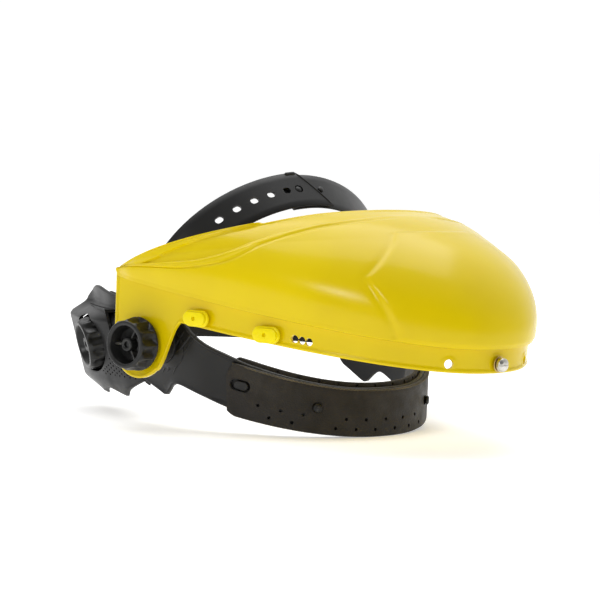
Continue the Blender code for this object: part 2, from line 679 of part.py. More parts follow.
def make_ratchet_knob():
    place = ratchet_place()
    origin = place.translation
    gear = []
    for i in range(40):
        a = 2 * math.pi * i / 40
        r = (3.7, 4.2, 4.75, 4.2)[i % 4]
        gear.append((r * math.cos(a), r * math.sin(a)))
    pinion = object_from("ratchet_pinion", placed(prism(gear, -1.4, 5.2), place), "knob_black", origin)
    shaft = placed(turned([(3.6, 5.0), (3.6, 14.4), (2.4, 14.4), (2.4, 17.5)], 20), place)
    add(pinion, cutter("pinion_shaft", shaft))
    base, top = 10.8, 23.5
    radius = 18.0
    outer = [(radius, base, 1.4), (radius, base + 3.5, 1.4), (radius - 1.0, top - 1.0, 0.9), (radius - 2.0, top, 0.0)]
    cup = [(radius - 4.4, top), (radius - 5.6, top - 7.5), (6.4, top - 7.5), (5.2, top - 2.0), (2.6, top - 2.0),
           (2.6, top - 3.5)]
    knob = object_from("ratchet_knob", placed(turned(outer + cup, 48), place), "knob_black", origin)
    cut(knob, cutter("ratchet_knob_well", placed(turned([(4.0, base - 1), (4.0, 14.8)], 20), place)))
    cut(knob, cutter("ratchet_knob_tip_well", placed(turned([(2.7, 14.0), (2.7, 18.0)], 16), place)))
    for n in range(3):
        spoke = prism([(4.6, -0.9), (radius - 4.8, -0.9), (radius - 4.8, 0.9), (4.6, 0.9)], top - 8, top - 3.6)
        spoke.transform(Matrix.Rotation(math.radians(90 + 120 * n), 4, "Z"))
        add(knob, cutter(f"ratchet_knob_spoke_{n}", placed(spoke, place)))


def make_detent_spring():
    """Flat leaf ring that clicks over the knob's teeth, kept from turning by its two ears."""
    outline = []
    for i in range(32):
        a = 2 * math.pi * i / 32
        ear = max(0.0, math.cos(2 * a)) ** 6
        r = 7.0 + 4.5 * ear
        outline.append((r * math.cos(a), r * math.sin(a)))
    ring = prism(outline, 5.7, 6.6)
    spring = object_from("detent_spring", placed(ring, ratchet_place()), "spring_steel", ratchet_place().translation)
    cut(spring, cutter("detent_spring_bore", placed(turned([(4.3, 4), (4.3, 8)], 20), ratchet_place())))


def make_nape_pad():
    """Soft pad between the ratchet and the head, with two lobes at its foot."""
    def section(angle):
        t = (angle - RATCHET_ANGLE - 3.0) / 26.0
        lobes = -38.0 - 4.0 * math.cos(2 * math.pi * t)
        top = 32.0 - 8.0 * t * t
        return [(-9.6, lobes + 1.5), (-5.6 - GAP * 3, lobes), (-5.6 - GAP * 3, top), (-9.6, top - 1.5)]
    first, last = RATCHET_ANGLE - 22, RATCHET_ANGLE + 30
    pad = object_from("nape_pad", rear_sweep(section, first, last, 24), "rubber_black")
    for n, (sideways, rise) in enumerate(SCREW_SPOTS):
        head = placed(turned([(3.3, -12.0), (3.3, -4)], 14), ratchet_place(0, sideways, rise))
        cut(pad, cutter(f"pad_screw_well_{n}", head))


def anchor_place(side):
    """Matrix of a strap anchor stud: local Z points out through the strap foot and the side plate."""
    point, across, out = strap_frame(side * ANCHOR_TURN)
    return frame_matrix(point, Vector((out.x, 0, 0)))


def make_strap_anchors(band):
    for side, word in ((-1, "right"), (1, "left")):
        place = anchor_place(side)
        foot = bpy.data.objects[f"crown_strap_{word}"]
        cut(foot, cutter(f"{word}_foot_bore", placed(turned([(3.0, -7), (3.0, 7)], 18), place)))
        cut(band, cutter(f"{word}_anchor_bore", placed(turned([(3.0, 2), (3.0, 22)], 18), place)))
        profile = [(4.6, -7.6), (5.0, -7.0), (5.0, -5.4), (2.5, -5.1), (2.5, 10.4), (1.8, 11.2)]
        stud = placed(turned(profile, 20), place)
        object_from(f"{word}_strap_anchor", stud, "knob_black", place.translation)


def make_all():
    make_brow_guard()
    for side, word in ((-1, "right"), (1, "left")):
        make_pivot(side, word)
        make_pivot_ball(side, word)
        for n, (y, z) in enumerate(PEG_SPOTS):
            make_window_peg(f"{word}_window_peg_{('rear', 'front')[n]}", side, y, z)
    make_front_screw()
    band = make_headband()
    make_sweatband()
    make_crown_straps()
    make_strap_anchors(band)
    make_ratchet()


for leftover in list(bpy.data.objects):
    bpy.data.objects.remove(leftover, do_unlink=True)
make_all()
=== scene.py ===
"""Looks of the brow guard and its ratchet head harness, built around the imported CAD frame.

Shape sizes are in millimetres in the CAD source's own frame: -Y is the wearer's front, -X the wearer's right,
heights run from the guard's lowest edge; row() turns them into the frame's metres.
"""

import json
import math

import bmesh
import bpy
from mathutils import Matrix, Vector

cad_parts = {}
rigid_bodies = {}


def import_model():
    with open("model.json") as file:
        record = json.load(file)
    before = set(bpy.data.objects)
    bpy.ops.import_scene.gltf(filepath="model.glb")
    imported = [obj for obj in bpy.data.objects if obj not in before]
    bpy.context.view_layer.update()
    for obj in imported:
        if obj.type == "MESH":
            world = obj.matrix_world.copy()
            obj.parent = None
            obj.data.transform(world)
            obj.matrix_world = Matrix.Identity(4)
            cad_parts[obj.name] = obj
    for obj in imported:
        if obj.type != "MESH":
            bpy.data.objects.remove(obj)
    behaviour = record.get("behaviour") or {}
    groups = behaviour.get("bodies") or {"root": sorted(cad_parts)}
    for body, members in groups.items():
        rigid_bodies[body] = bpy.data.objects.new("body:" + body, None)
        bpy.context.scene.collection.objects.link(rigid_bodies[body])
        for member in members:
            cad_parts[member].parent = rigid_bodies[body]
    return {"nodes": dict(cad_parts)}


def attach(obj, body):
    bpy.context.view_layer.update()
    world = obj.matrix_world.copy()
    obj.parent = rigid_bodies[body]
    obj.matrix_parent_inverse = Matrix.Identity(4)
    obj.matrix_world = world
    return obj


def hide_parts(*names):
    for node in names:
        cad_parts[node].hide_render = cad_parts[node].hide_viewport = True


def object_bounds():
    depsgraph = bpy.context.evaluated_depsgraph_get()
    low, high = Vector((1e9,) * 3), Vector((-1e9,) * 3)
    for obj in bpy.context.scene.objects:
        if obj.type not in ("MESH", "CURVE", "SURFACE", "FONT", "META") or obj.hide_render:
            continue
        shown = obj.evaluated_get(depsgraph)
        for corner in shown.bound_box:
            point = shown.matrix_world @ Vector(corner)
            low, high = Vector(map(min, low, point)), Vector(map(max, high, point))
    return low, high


for leftover in list(bpy.data.objects):
    bpy.data.objects.remove(leftover, do_unlink=True)

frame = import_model()
cad_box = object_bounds()

MM = 0.001
SIDES = (("right", -1), ("left", 1))
PIVOT_Y, HEAD_Z, PIVOT_Z = -5.0, 45.0, 57.0
SPLAY = math.radians(10.0)

OUTLINE_HALF_WIDTH, OUTLINE_BACK, OUTLINE_FRONT = 122.5, 44.0, 195.0
OUTLINE_POWER, OUTLINE_ROUND = 1.6, 2.25
SHELL_WALL, SHELL_REAR, LEDGE_OUT, LEDGE_STEP, DOME_BULGE, LOBE_RADIUS = 2.4, 21.0, 3.2, 2.8, 3.2, 22.0
RIM_HALF_WIDTH, RIM_BACK, RIM_DEPTH, RIM_POWER, RIM_LOW, RIM_RISE = 119.5, 17.0, 112.0, 2.2, 104.5, 41.5

HARNESS_HALF_WIDTH, HARNESS_CENTRE, HARNESS_FRONT, HARNESS_REAR, HARNESS_ROUND = 88.0, 12.0, 110.0, 118.0, 2.2
BAND_WALL, RATCHET_ANGLE, RATCHET_Z, RATCHET_TILT = 2.4, 121.0, 53.0, math.radians(15.5)
RACK_HEIGHT, TAIL_OUT, WINDOW_HALF = 17.0, 3.5, 5.1
KNOB_RADIUS, KNOB_HEIGHT, KNOB_FLUTES, FLUTE_SHARPNESS = 16.8, 13.5, 12, 0.75
STRAP_WIDTH, STRAP_WALL = 26.7, 1.8
PEG_LENGTH, PEG_WIDTH, PEG_PROUD = 18.6, 10.2, 6.0
PEG_SPOTS = ((-47.5, 76.4), (-96.0, 70.4))
SCREW_Z = 58.5
FRONT_HOLE = (-187.0, 59.0)
LOW_EDGE = ((-98, 7.0), (-70, 12.0), (-42, 19.0), (-20, 25.8), (-9, 29.5), (-4.6, 30.5), (0, 29.0), (6.3, 21.3),
            (9, 22.0), (30, 31.0), (50, 40.0), (62, 44.5))
HIGH_EDGE = ((-98, 34.0), (-75, 41.0), (-52, 48.0), (-44, 52.0), (-34, 57.0), (-28, 61.0), (-22, 68.0),
             (-14, 82.0), (0, 92.0), (20, 96.0), (32, 90.0), (44, 76.0), (62, 61.5))
BAND_PEG_ANGLES, BAND_PEG_Z, TAB_TURN = (28.4, 57.2), (22.6, 34.0), -0.2
STRAP_FOOT = Vector((-99.0, 5.0, 73.2))
STRAP_CROWN_Y, STRAP_TOP_Z, STRAP_TIP = -24.0, 154.5, math.radians(49.7)
STRAP_END_SLANT, STUD_TURNS, STRAP_FOOT_TURN = 0.07, (-0.074, 0.06), 0.9
RIGHT_STRAP_LIFT, LEFT_STRAP_LIFT, RIGHT_STRAP_END = 1.6, -1.0, 0.02
SWEAT_HALF_ANGLE, HOLE_PITCH = 62.0, 8.4


# --- numbers and places ---
def row(point):
    """A point in the CAD source's millimetres, as a point of the row frame in metres."""
    return (Vector(point) + Vector((0, PIVOT_Y, -HEAD_Z))) * MM


def smooth(a, b, x):
    """Eased step from 0 at a to 1 at b."""
    t = min(max((x - a) / (b - a), 0.0), 1.0)
    return t * t * (3.0 - 2.0 * t)


def mix(a, b, t):
    return a + (b - a) * t


def along(points, x):
    """Straight-line reading of a short list of (x, value) corners, in rising x."""
    if x <= points[0][0]:
        return points[0][1]
    for (x0, v0), (x1, v1) in zip(points, points[1:]):
        if x <= x1:
            return mix(v0, v1, (x - x0) / (x1 - x0))
    return points[-1][1]


def eased(points, x, reach):
    """The same reading with its corners rounded over `reach`."""
    return sum(along(points, x + reach * k / 3) for k in range(-3, 4)) / 7


def frame_matrix(origin, axis, up=(0, 0, 1)):
    z = Vector(axis).normalized()
    x = Vector(up).cross(z)
    x.normalize()
    y = z.cross(x)
    place = Matrix.Identity(4)
    for r in range(3):
        place[r][0], place[r][1], place[r][2], place[r][3] = x[r], y[r], z[r], origin[r]
    return place


def guard_outline(beta, out=0.0):
    """Plan outline of the guard; beta runs round from the front."""
    u = max(math.cos(beta), 0.0) ** (2.0 / OUTLINE_POWER)
    x = (OUTLINE_HALF_WIDTH + out) * math.copysign(abs(math.sin(beta)) ** (2.0 / OUTLINE_ROUND), beta)
    return x, OUTLINE_BACK - (OUTLINE_FRONT + OUTLINE_BACK + out) * u


def guard_beta(y):
    """The beta at which the outline is at y."""
    u = (OUTLINE_BACK - y) / (OUTLINE_FRONT + OUTLINE_BACK)
    return math.acos(u ** (OUTLINE_POWER / 2.0))


def guard_normal(beta):
    x0, y0 = guard_outline(beta - 0.01)
    x1, y1 = guard_outline(beta + 0.01)
    side = Vector((y1 - y0, -(x1 - x0), 0)).normalized()
    return side if side.dot(Vector((*guard_outline(beta), 0))) > 0 else -side


def skirt_low(y):
    """Height of the skirt's lower edge, with the lobe round the pivot."""
    straight = 76.3 + 0.12 * y
    if y > -15.0:
        return PIVOT_Z - math.sqrt(max(LOBE_RADIUS ** 2 - y * y, 0.0)) if y < SHELL_REAR else PIVOT_Z - 6.5
    lobe = PIVOT_Z - math.sqrt(LOBE_RADIUS ** 2 - 15.0 ** 2)
    return mix(lobe, straight, smooth(-15.0, -34.0, y)) if y > -34.0 else straight


def ledge_height(y):
    return 94.5 + 0.14 * y


def rim_point(gamma):
    v = max(math.cos(gamma), 0.0) ** (2.0 / RIM_POWER)
    return Vector((RIM_HALF_WIDTH * math.sin(gamma), RIM_BACK - RIM_DEPTH * v, RIM_LOW + RIM_RISE * v ** 0.8))


def harness_line(angle):
    """Plan line of the head band, angle in degrees from the front."""
    a = math.radians(angle)
    depth = HARNESS_FRONT if math.cos(a) > 0 else HARNESS_REAR
    across = math.copysign(abs(math.sin(a)) ** (2.0 / HARNESS_ROUND), math.sin(a))
    forward = math.copysign(abs(math.cos(a)) ** (2.0 / HARNESS_ROUND), math.cos(a))
    return Vector((-HARNESS_HALF_WIDTH * across, HARNESS_CENTRE - depth * forward, 0))


def harness_point(angle, out=0.0):
    along_band = harness_line(angle + 1.5) - harness_line(angle - 1.5)
    normal = Vector((-along_band.y, along_band.x, 0)).normalized()
    return harness_line(angle) + normal * out, normal


def plate_lean(angle, z):
    """How far the side plates and the ratchet lean outward at a height."""
    turn = angle % 360
    round_side = 180 - abs(180 - turn)
    plate = smooth(52, 74, round_side) * (1 - smooth(99, 113, round_side))
    ratchet = smooth(99, 113, turn) * (1 - smooth(143, 165, turn))
    return 0.34 * max(min(z, 80.0) - 24.0, 0.0) * plate + math.tan(RATCHET_TILT) * (z - RATCHET_Z) * ratchet


def band_spot(angle, z, out):
    """Point at a height on the leaning band, `out` from the middle of its wall."""
    point, _ = harness_point(angle, out + plate_lean(angle, z))
    return Vector((point.x, point.y, z))


def band_place(angle, z):
    point, normal = harness_point(angle, plate_lean(angle, z))
    return frame_matrix((point.x, point.y, z), normal)


def wall_place(beta, z):
    x, y = guard_outline(beta)
    return frame_matrix((x, y, z), guard_normal(beta))


def ratchet_place():
    point, normal = harness_point(RATCHET_ANGLE)
    axis = normal * math.cos(RATCHET_TILT) - Vector((0, 0, math.sin(RATCHET_TILT)))
    return frame_matrix((point.x, point.y, RATCHET_Z), axis)


PIVOT_X = guard_outline(guard_beta(0.0))[0]
SEAT_X = PIVOT_X - SHELL_WALL - 15.0
SEAT_TO_SKIN = (PIVOT_X - SEAT_X) / math.cos(SPLAY)


def pivot_side(side):
    return frame_matrix((side * SEAT_X, 0, PIVOT_Z), (side * math.cos(SPLAY), -math.sin(SPLAY), 0))


def level_side(side):
    """Place on a pivot's seat whose axis is level, as the harness's side is."""
    return frame_matrix((side * SEAT_X, 0, PIVOT_Z), (side, 0, 0))


def strap_centre(a):
    reach = math.copysign(abs(math.sin(a)) ** 1.03, a)
    rise = abs(math.cos(a)) ** 0.915
    return Vector((-STRAP_FOOT.x * reach, mix(STRAP_FOOT.y, STRAP_CROWN_Y, rise ** 1.5),
                   mix(STRAP_FOOT.z, STRAP_TOP_Z, rise)))


def strap_frame(turn, lift=0.0):
    """Point, across and outward directions of the crown strap; turn runs -1 (right plate) to 1 (left plate)."""
    a = turn * math.pi / 2
    centre = strap_centre(a)
    tangent = (strap_centre(a + 0.004) - centre).normalized()
    across = Vector((0, 1, 0)) - tangent * tangent.y
    across.normalize()
    outward = tangent.cross(across)
    if outward.dot(centre - Vector((0, 0, 90))) < 0:
        outward = -outward
    tip = STRAP_TIP * max(math.cos(a), 0.0) ** 0.451
    turned_out = outward * math.cos(tip) - across * math.sin(tip)
    turned_across = across * math.cos(tip) + outward * math.sin(tip)
    return centre + turned_out * lift, turned_across, turned_out


def strap_foot_place(side):
    point, _, out = strap_frame(side * STRAP_FOOT_TURN)
    return frame_matrix(point, Vector((out.x, 0, 0)))


# --- mesh helpers ---
def piece(name, bm, look_name, body=None, stands_for=(), angle=40.0):
    """Turn a bmesh in source millimetres into a piece that rides on a CAD body."""
    for vert in bm.verts:
        vert.co = row(vert.co)
    bmesh.ops.remove_doubles(bm, verts=bm.verts, dist=2e-7)
    bmesh.ops.recalc_face_normals(bm, faces=bm.faces)
    if bm.calc_volume(signed=True) < 0:
        bmesh.ops.reverse_faces(bm, faces=bm.faces)
    mesh = bpy.data.meshes.new(name)
    bm.to_mesh(mesh)
    bm.free()
    mesh.shade_smooth()
    if angle:
        mesh.set_sharp_from_angle(angle=math.radians(angle))
    made = bpy.data.objects.new(name, mesh)
    bpy.context.scene.collection.objects.link(made)
    if look_name:
        mesh.materials.append(LOOKS[look_name])
    if body:
        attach(made, body)
        if stands_for:
            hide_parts(*stands_for)
    return made


def loft(rings, loop=False):
    """Skin equal-length rings of points, capped at both ends. loop joins the last ring to the first instead."""
    bm = bmesh.new()
    rows = [[bm.verts.new(p) for p in ring] for ring in rings]
    count = len(rows[0])
    pairs = list(zip(rows, rows[1:])) + ([(rows[-1], rows[0])] if loop else [])
    for low, high in pairs:
        for i in range(count):
            j = (i + 1) % count
            bm.faces.new((low[i], low[j], high[j], high[i]))
    if not loop:
        bm.faces.new(rows[0])
        bm.faces.new(rows[-1])
    return bm


def ring_points(radius, height, steps, wave=0.0):
    """Ring of points about the axis, scalloped `wave` deep by the knobs' flutes."""
    points = []
    for i in range(steps):
        a = 2 * math.pi * i / steps
        r = radius - wave * (0.5 - 0.5 * math.cos(KNOB_FLUTES * a)) ** FLUTE_SHARPNESS
        points.append(Vector((r * math.cos(a), r * math.sin(a), height)))
    return points


def turned(profile, steps):
    """Solid of revolution; profile is (radius, height) or (radius, height, wave)."""
    return loft([ring_points(p[0], p[1], steps, *p[2:]) for p in profile])


def drill(radius, low, high, steps, place):
    """Round tool along the axis of a place."""
    return placed(turned([(radius, low), (radius, high)], steps), place)


def rounded_profile(corners, radius, steps=4):
    """Round each inner corner of a (radius, height) profile; its ends stay sharp."""
    points = [Vector(c) for c in corners]
    made = [tuple(points[0])]
    for before, point, after in zip(points, points[1:], points[2:]):
        back, ahead = before - point, after - point
        reach = min(radius, back.length * 0.45, ahead.length * 0.45)
        p0, p2 = point + back.normalized() * reach, point + ahead.normalized() * reach
        for k in range(steps + 1):
            t = k / steps
            spot = p0 * (1 - t) ** 2 + point * 2 * t * (1 - t) + p2 * t ** 2
            made.append((spot.x, spot.y))
    return made + [tuple(points[-1])]


def oval(length, width, steps):
    """Stadium outline: two half rounds joined by straights."""
    r, half = width / 2, (length - width) / 2
    points = []
    for side in (1, -1):
        for i in range(steps + 1):
            a = -math.pi / 2 + math.pi * i / steps
            points.append((side * (half + r * math.cos(a)), side * r * math.sin(a)))
    return points


def oval_stack(length, width, profile, steps=12):
    """Closed solid of stacked stadium outlines; profile is (inset, height)."""
    rings = []
    for inset, height in profile:
        outline = oval(length - 2 * inset, width - 2 * inset, steps)
        rings.append([Vector((x, y, height)) for x, y in outline])
    return loft(rings)


def joined(*parts):
    """One bmesh holding several."""
    whole = bmesh.new()
    for part in parts:
        spare = bpy.data.meshes.new("spare")
        part.to_mesh(spare)
        part.free()
        whole.from_mesh(spare)
        bpy.data.meshes.remove(spare)
    return whole


def placed(bm, place):
    bm.transform(place)
    return bm


def tube(points, radius, steps, squash=1.0, ups=None):
    """Round bead along a line of points, tapered to a close at both ends."""
    rings = []
    for i, point in enumerate(points):
        ahead = (points[min(i + 1, len(points) - 1)] - points[max(i - 1, 0)]).normalized()
        up = ups[i] if ups else Vector((0, 0, 1))
        side = ahead.cross(up).normalized()
        lift = side.cross(ahead)
        r = radius * (0.35 if i in (0, len(points) - 1) else 1.0)
        rings.append([point + side * r * math.cos(a) + lift * r * squash * math.sin(a)
                      for a in (2 * math.pi * k / steps for k in range(steps))])
    return loft(rings)


def carve(target, *tools):
    """Cut closed tool meshes out of a finished piece and keep the result as its mesh."""
    tool = piece("tool", joined(*tools), None)
    step = target.modifiers.new("cut", "BOOLEAN")
    step.operation, step.object, step.solver = "DIFFERENCE", tool, "EXACT"
    bpy.context.view_layer.update()
    kept = bpy.data.meshes.new_from_object(target.evaluated_get(bpy.context.evaluated_depsgraph_get()))
    target.modifiers.clear()
    old = target.data
    name = old.name
    target.data = kept
    bpy.data.meshes.remove(old)
    kept.name = name
    kept.shade_smooth()
    kept.set_sharp_from_angle(angle=math.radians(40))
    bpy.data.objects.remove(tool, do_unlink=True)


def softened(target, width):
    """Round the sharp edges of a piece with a small bevel."""
    step = target.modifiers.new("edges", "BEVEL")
    step.width, step.segments = width * MM, 2
    step.limit_method, step.angle_limit = "ANGLE", math.radians(35)
    step.harden_normals = False


# --- materials ---
class Graph:
    """A material's node tree, with short calls for the nodes used here."""

    def __init__(self, name, colour, roughness, metallic=0.0, **sockets):
        self.material = bpy.data.materials.new(name)
        self.material.use_nodes = True
        self.tree = self.material.node_tree
        self.shader = self.tree.nodes["Principled BSDF"]
        self.shader.inputs["Base Color"].default_value = (*colour, 1.0)
        self.shader.inputs["Roughness"].default_value = roughness
        self.shader.inputs["Metallic"].default_value = metallic
        for socket, value in sockets.items():
            self.shader.inputs[socket.replace("_", " ")].default_value = value
        self.material.diffuse_color = (*colour, 1.0)
        self.coords = self.tree.nodes.new("ShaderNodeTexCoord").outputs["Object"]

    def link(self, out, socket):
        self.tree.links.new(out, socket)

    def texture(self, kind, scale, stretch):
        """Texture node over the object's own coordinates, stretched along each axis."""
        move = self.tree.nodes.new("ShaderNodeMapping")
        move.inputs["Scale"].default_value = stretch
        self.link(self.coords, move.inputs["Vector"])
        node = self.tree.nodes.new(kind)
        node.inputs["Scale"].default_value = scale
        self.link(move.outputs[0], node.inputs["Vector"])
        return node

    def noise(self, scale, detail, stretch=(1, 1, 1), rough=0.5):
        node = self.texture("ShaderNodeTexNoise", scale, stretch)
        node.inputs["Detail"].default_value = detail
        node.inputs["Roughness"].default_value = rough
        return node.outputs["Fac"]

    def cells(self, scale, stretch=(1, 1, 1)):
        return self.texture("ShaderNodeTexVoronoi", scale, stretch).outputs["Distance"]

    def fit(self, value, low, high, to_low, to_high):
        node = self.tree.nodes.new("ShaderNodeMapRange")
        for socket, number in zip(("From Min", "From Max", "To Min", "To Max"), (low, high, to_low, to_high)):
            node.inputs[socket].default_value = number
        self.link(value, node.inputs["Value"])
        return node.outputs["Result"]

    def sum(self, a, b, operation="ADD"):
        node = self.tree.nodes.new("ShaderNodeMath")
        node.operation = operation
        for socket, value in zip(node.inputs, (a, b)):
            if isinstance(value, (int, float)):
                socket.default_value = value
            else:
                self.link(value, socket)
        return node.outputs[0]

    def blend(self, share, first, second):
        """Mix two colours, each a tuple or an output, by a share."""
        node = self.tree.nodes.new("ShaderNodeMix")
        node.data_type = "RGBA"
        self.link(share, node.inputs["Factor"])
        for socket, value in ((node.inputs["A"], first), (node.inputs["B"], second)):
            found = [s for s in node.inputs if s.name == socket.name and s.type == "RGBA"][0]
            if isinstance(value, tuple):
                found.default_value = (*value, 1.0)
            else:
                self.link(value, found)
        return [s for s in node.outputs if s.type == "RGBA"][0]

    def edges(self, low, high):
        """Share of wear on the sharp outer edges; with a falling range, the share of the hollows, which metal() darkens
        as painted shade.
        """
        geometry = self.tree.nodes.new("ShaderNodeNewGeometry")
        return self.fit(geometry.outputs["Pointiness"], low, high, 0.0, 1.0)

    def bump(self, height, strength, distance, under=None):
        node = self.tree.nodes.new("ShaderNodeBump")
        node.inputs["Strength"].default_value = strength
        node.inputs["Distance"].default_value = distance
        self.link(height, node.inputs["Height"])
        if under:
            self.link(under, node.inputs["Normal"])
        return node.outputs["Normal"]

    def finish(self, colour=None, roughness=None, normal=None):
        for name, out in (("Base Color", colour), ("Roughness", roughness), ("Normal", normal)):
            if out:
                self.link(out, self.shader.inputs[name])
        return self.material


def plastic(name, dark, light, worn, roughness, grain, grain_depth, spread=0.08, **sockets):
    """Moulded plastic: cloudy colour, handled sheen, fine moulded grain, paler worn edges and light scratches."""
    g = Graph(name, light, roughness, **sockets)
    cloudy = g.blend(g.fit(g.noise(14, 4), 0.3, 0.7, 0, 1), dark, light)
    scuffs = g.fit(g.noise(60, 6, (1, 1, 5)), 0.45, 0.75, 0.0, 1.0)
    edge = g.sum(g.edges(0.53, 0.62), scuffs, "MULTIPLY")
    colour = g.blend(edge, cloudy, worn)
    rough = g.fit(g.noise(35, 5, rough=0.7), 0.3, 0.7, roughness - spread, roughness + spread)
    fine = g.bump(g.noise(grain, 2), 0.6, grain_depth)
    scratched = g.bump(g.fit(g.noise(260, 4, (1, 14, 2)), 0.62, 0.72, 1, 0), 0.12, 0.00003, fine)
    return g.finish(colour, rough, scratched)


def metal(name, dark, light, roughness, brushed):
    """Plated or turned metal: faint circular tool marks, dulled patches and painted shade darkening its hollows."""
    g = Graph(name, light, roughness, 1.0)
    dull = g.fit(g.noise(180, 5, rough=0.7), 0.35, 0.7, 0, 1)
    colour = g.blend(dull, light, dark)
    # Painted shade: the hollows (low pointiness) are darkened to 0.4 of the dark tone.
    colour = g.blend(g.edges(0.47, 0.38), colour, tuple(c * 0.4 for c in dark))
    rough = g.fit(g.noise(300, 4), 0.3, 0.7, roughness - 0.08, roughness + 0.16)
    marks = g.bump(g.noise(900, 2, brushed), 0.25, 0.00004)
    return g.finish(colour, rough, marks)


def leatherette():
    """Brown-black coated cloth: pebbled grain over a fine diagonal mesh, paler where it is creased or rubbed."""
    g = Graph("sweatband_brown", (0.05, 0.042, 0.03), 0.6, Sheen_Weight=0.08, Sheen_Roughness=0.5,
              Specular_IOR_Level=0.3)
    warm = g.blend(g.fit(g.noise(40, 5), 0.3, 0.7, 0, 1), (0.012, 0.0095, 0.007), (0.022, 0.018, 0.013))
    rubbed = g.fit(g.noise(75, 5), 0.62, 0.9, 0, 0.6)
    colour = g.blend(rubbed, warm, (0.06, 0.05, 0.035))
    mesh = g.sum(g.cells(760, stretch=(1, 1, 1.3)), g.cells(1500), "ADD")
    weave = g.bump(mesh, 0.5, 0.00018)
    pebbled = g.bump(g.noise(420, 5, rough=0.65), 0.45, 0.0002, weave)
    rough = g.fit(g.noise(90, 5), 0.3, 0.7, 0.48, 0.72)
    return g.finish(colour, rough, pebbled)


def soft_rubber():
    """Soft matt rubber: dusty bloom and a fine moulded stipple."""
    g = Graph("rubber_black", (0.016, 0.016, 0.016), 0.82)
    dust = g.fit(g.noise(70, 6), 0.4, 0.75, 0, 1)
    colour = g.blend(dust, (0.013, 0.013, 0.013), (0.045, 0.044, 0.042))
    stipple = g.bump(g.cells(1100), 0.5, 0.0002)
    return g.finish(colour, g.fit(g.noise(50, 4), 0.3, 0.7, 0.7, 0.92), stipple)


LOOKS = {
    "guard_yellow": plastic("guard_yellow", (0.70, 0.52, 0.0), (0.77, 0.585, 0.0), (0.86, 0.74, 0.05), 0.22, 1300,
                            0.000012, 0.04, Specular_IOR_Level=0.22, Subsurface_Weight=0.06,
                            Subsurface_Radius=(0.004, 0.0025, 0.0004), Subsurface_Scale=1.0),
    "peg_yellow": plastic("peg_yellow", (0.86, 0.70, 0.0), (0.95, 0.80, 0.0), (0.98, 0.88, 0.1), 0.3, 1100,
                          0.00001, 0.06, Specular_IOR_Level=0.2, Subsurface_Weight=0.1,
                          Subsurface_Radius=(0.003, 0.0025, 0.0005), Subsurface_Scale=1.0),
    "harness_black": plastic("harness_black", (0.004, 0.004, 0.004), (0.008, 0.008, 0.008), (0.05, 0.05, 0.048),
                             0.4, 2200, 0.00003, 0.07, Specular_IOR_Level=0.35),
    "knob_black": plastic("knob_black", (0.005, 0.005, 0.005), (0.009, 0.009, 0.008), (0.09, 0.085, 0.07),
                          0.36, 1800, 0.00003, 0.08, Specular_IOR_Level=0.4),
    "sweatband_brown": leatherette(),
    "hem_tan": plastic("hem_tan", (0.05, 0.04, 0.022), (0.085, 0.068, 0.04), (0.16, 0.13, 0.08), 0.7, 900, 0.00005),
    "nickel": metal("nickel", (0.42, 0.40, 0.36), (0.72, 0.70, 0.65), 0.26, (1, 1, 6)),
    "brass": metal("brass", (0.35, 0.24, 0.09), (0.66, 0.49, 0.21), 0.32, (1, 6, 1)),
    "rubber_black": soft_rubber(),
    "spring_steel": metal("spring_steel", (0.33, 0.33, 0.34), (0.58, 0.58, 0.60), 0.3, (6, 1, 1)),
}


# --- camera, floor and light ---
def make_camera():
    azimuth, elevation, roll = math.radians(-42.503), math.radians(4.33), math.radians(2.154)
    distance, focal_px, aim, aim_right, aim_up = 1.485098, 2312.9, (0.0, -0.060, 0.020), -0.023889, 0.020565
    back = Vector((math.sin(azimuth) * math.cos(elevation), -math.cos(azimuth) * math.cos(elevation),
                   math.sin(elevation)))
    level = Vector((math.cos(azimuth), math.sin(azimuth), 0))
    upright = back.cross(level)
    right = level * math.cos(roll) + upright * math.sin(roll)
    up = upright * math.cos(roll) - level * math.sin(roll)
    spot = Vector(aim) + right * aim_right + up * aim_up + back * distance
    camera = bpy.data.objects.new("camera", bpy.data.cameras.new("camera"))
    camera.data.sensor_width = 36.0
    camera.data.lens = focal_px * 36.0 / 600.0
    camera.data.clip_start, camera.data.clip_end = 0.05, 30.0
    camera.matrix_world = Matrix((
        (right.x, up.x, back.x, spot.x), (right.y, up.y, back.y, spot.y), (right.z, up.z, back.z, spot.z),
        (0, 0, 0, 1)))
    bpy.context.scene.collection.objects.link(camera)
    bpy.context.scene.camera = camera


def make_floor(height):
    """Pale round floor, wide enough to reach the horizon."""
    bm = bmesh.new()
    bmesh.ops.create_circle(bm, cap_ends=True, segments=128, radius=60.0)
    mesh = bpy.data.meshes.new("floor")
    bm.to_mesh(mesh)
    bm.free()
    floor = bpy.data.objects.new("floor", mesh)
    floor.location.z = height
    g = Graph("floor", (0.93, 0.93, 0.93), 0.8, Specular_IOR_Level=0.0)
    g.shader.inputs["Emission Color"].default_value = (1.0, 1.0, 1.0, 1.0)
    g.shader.inputs["Emission Strength"].default_value = 0.37
    g.finish(g.blend(g.noise(1.5, 2), (0.93, 0.93, 0.93), (0.94, 0.94, 0.94)))
    mesh.materials.append(g.material)
    bpy.context.scene.collection.objects.link(floor)


def area_light(name, place, aim, size, power):
    data = bpy.data.lights.new(name, "AREA")
    data.shape, data.size, data.size_y = "RECTANGLE", size[0], size[1]
    data.energy = power
    light = bpy.data.objects.new(name, data)
    light.location = place
    light.rotation_mode = "QUATERNION"
    light.rotation_quaternion = (Vector(place) - Vector(aim)).to_track_quat("Z", "Y")
    bpy.context.scene.collection.objects.link(light)


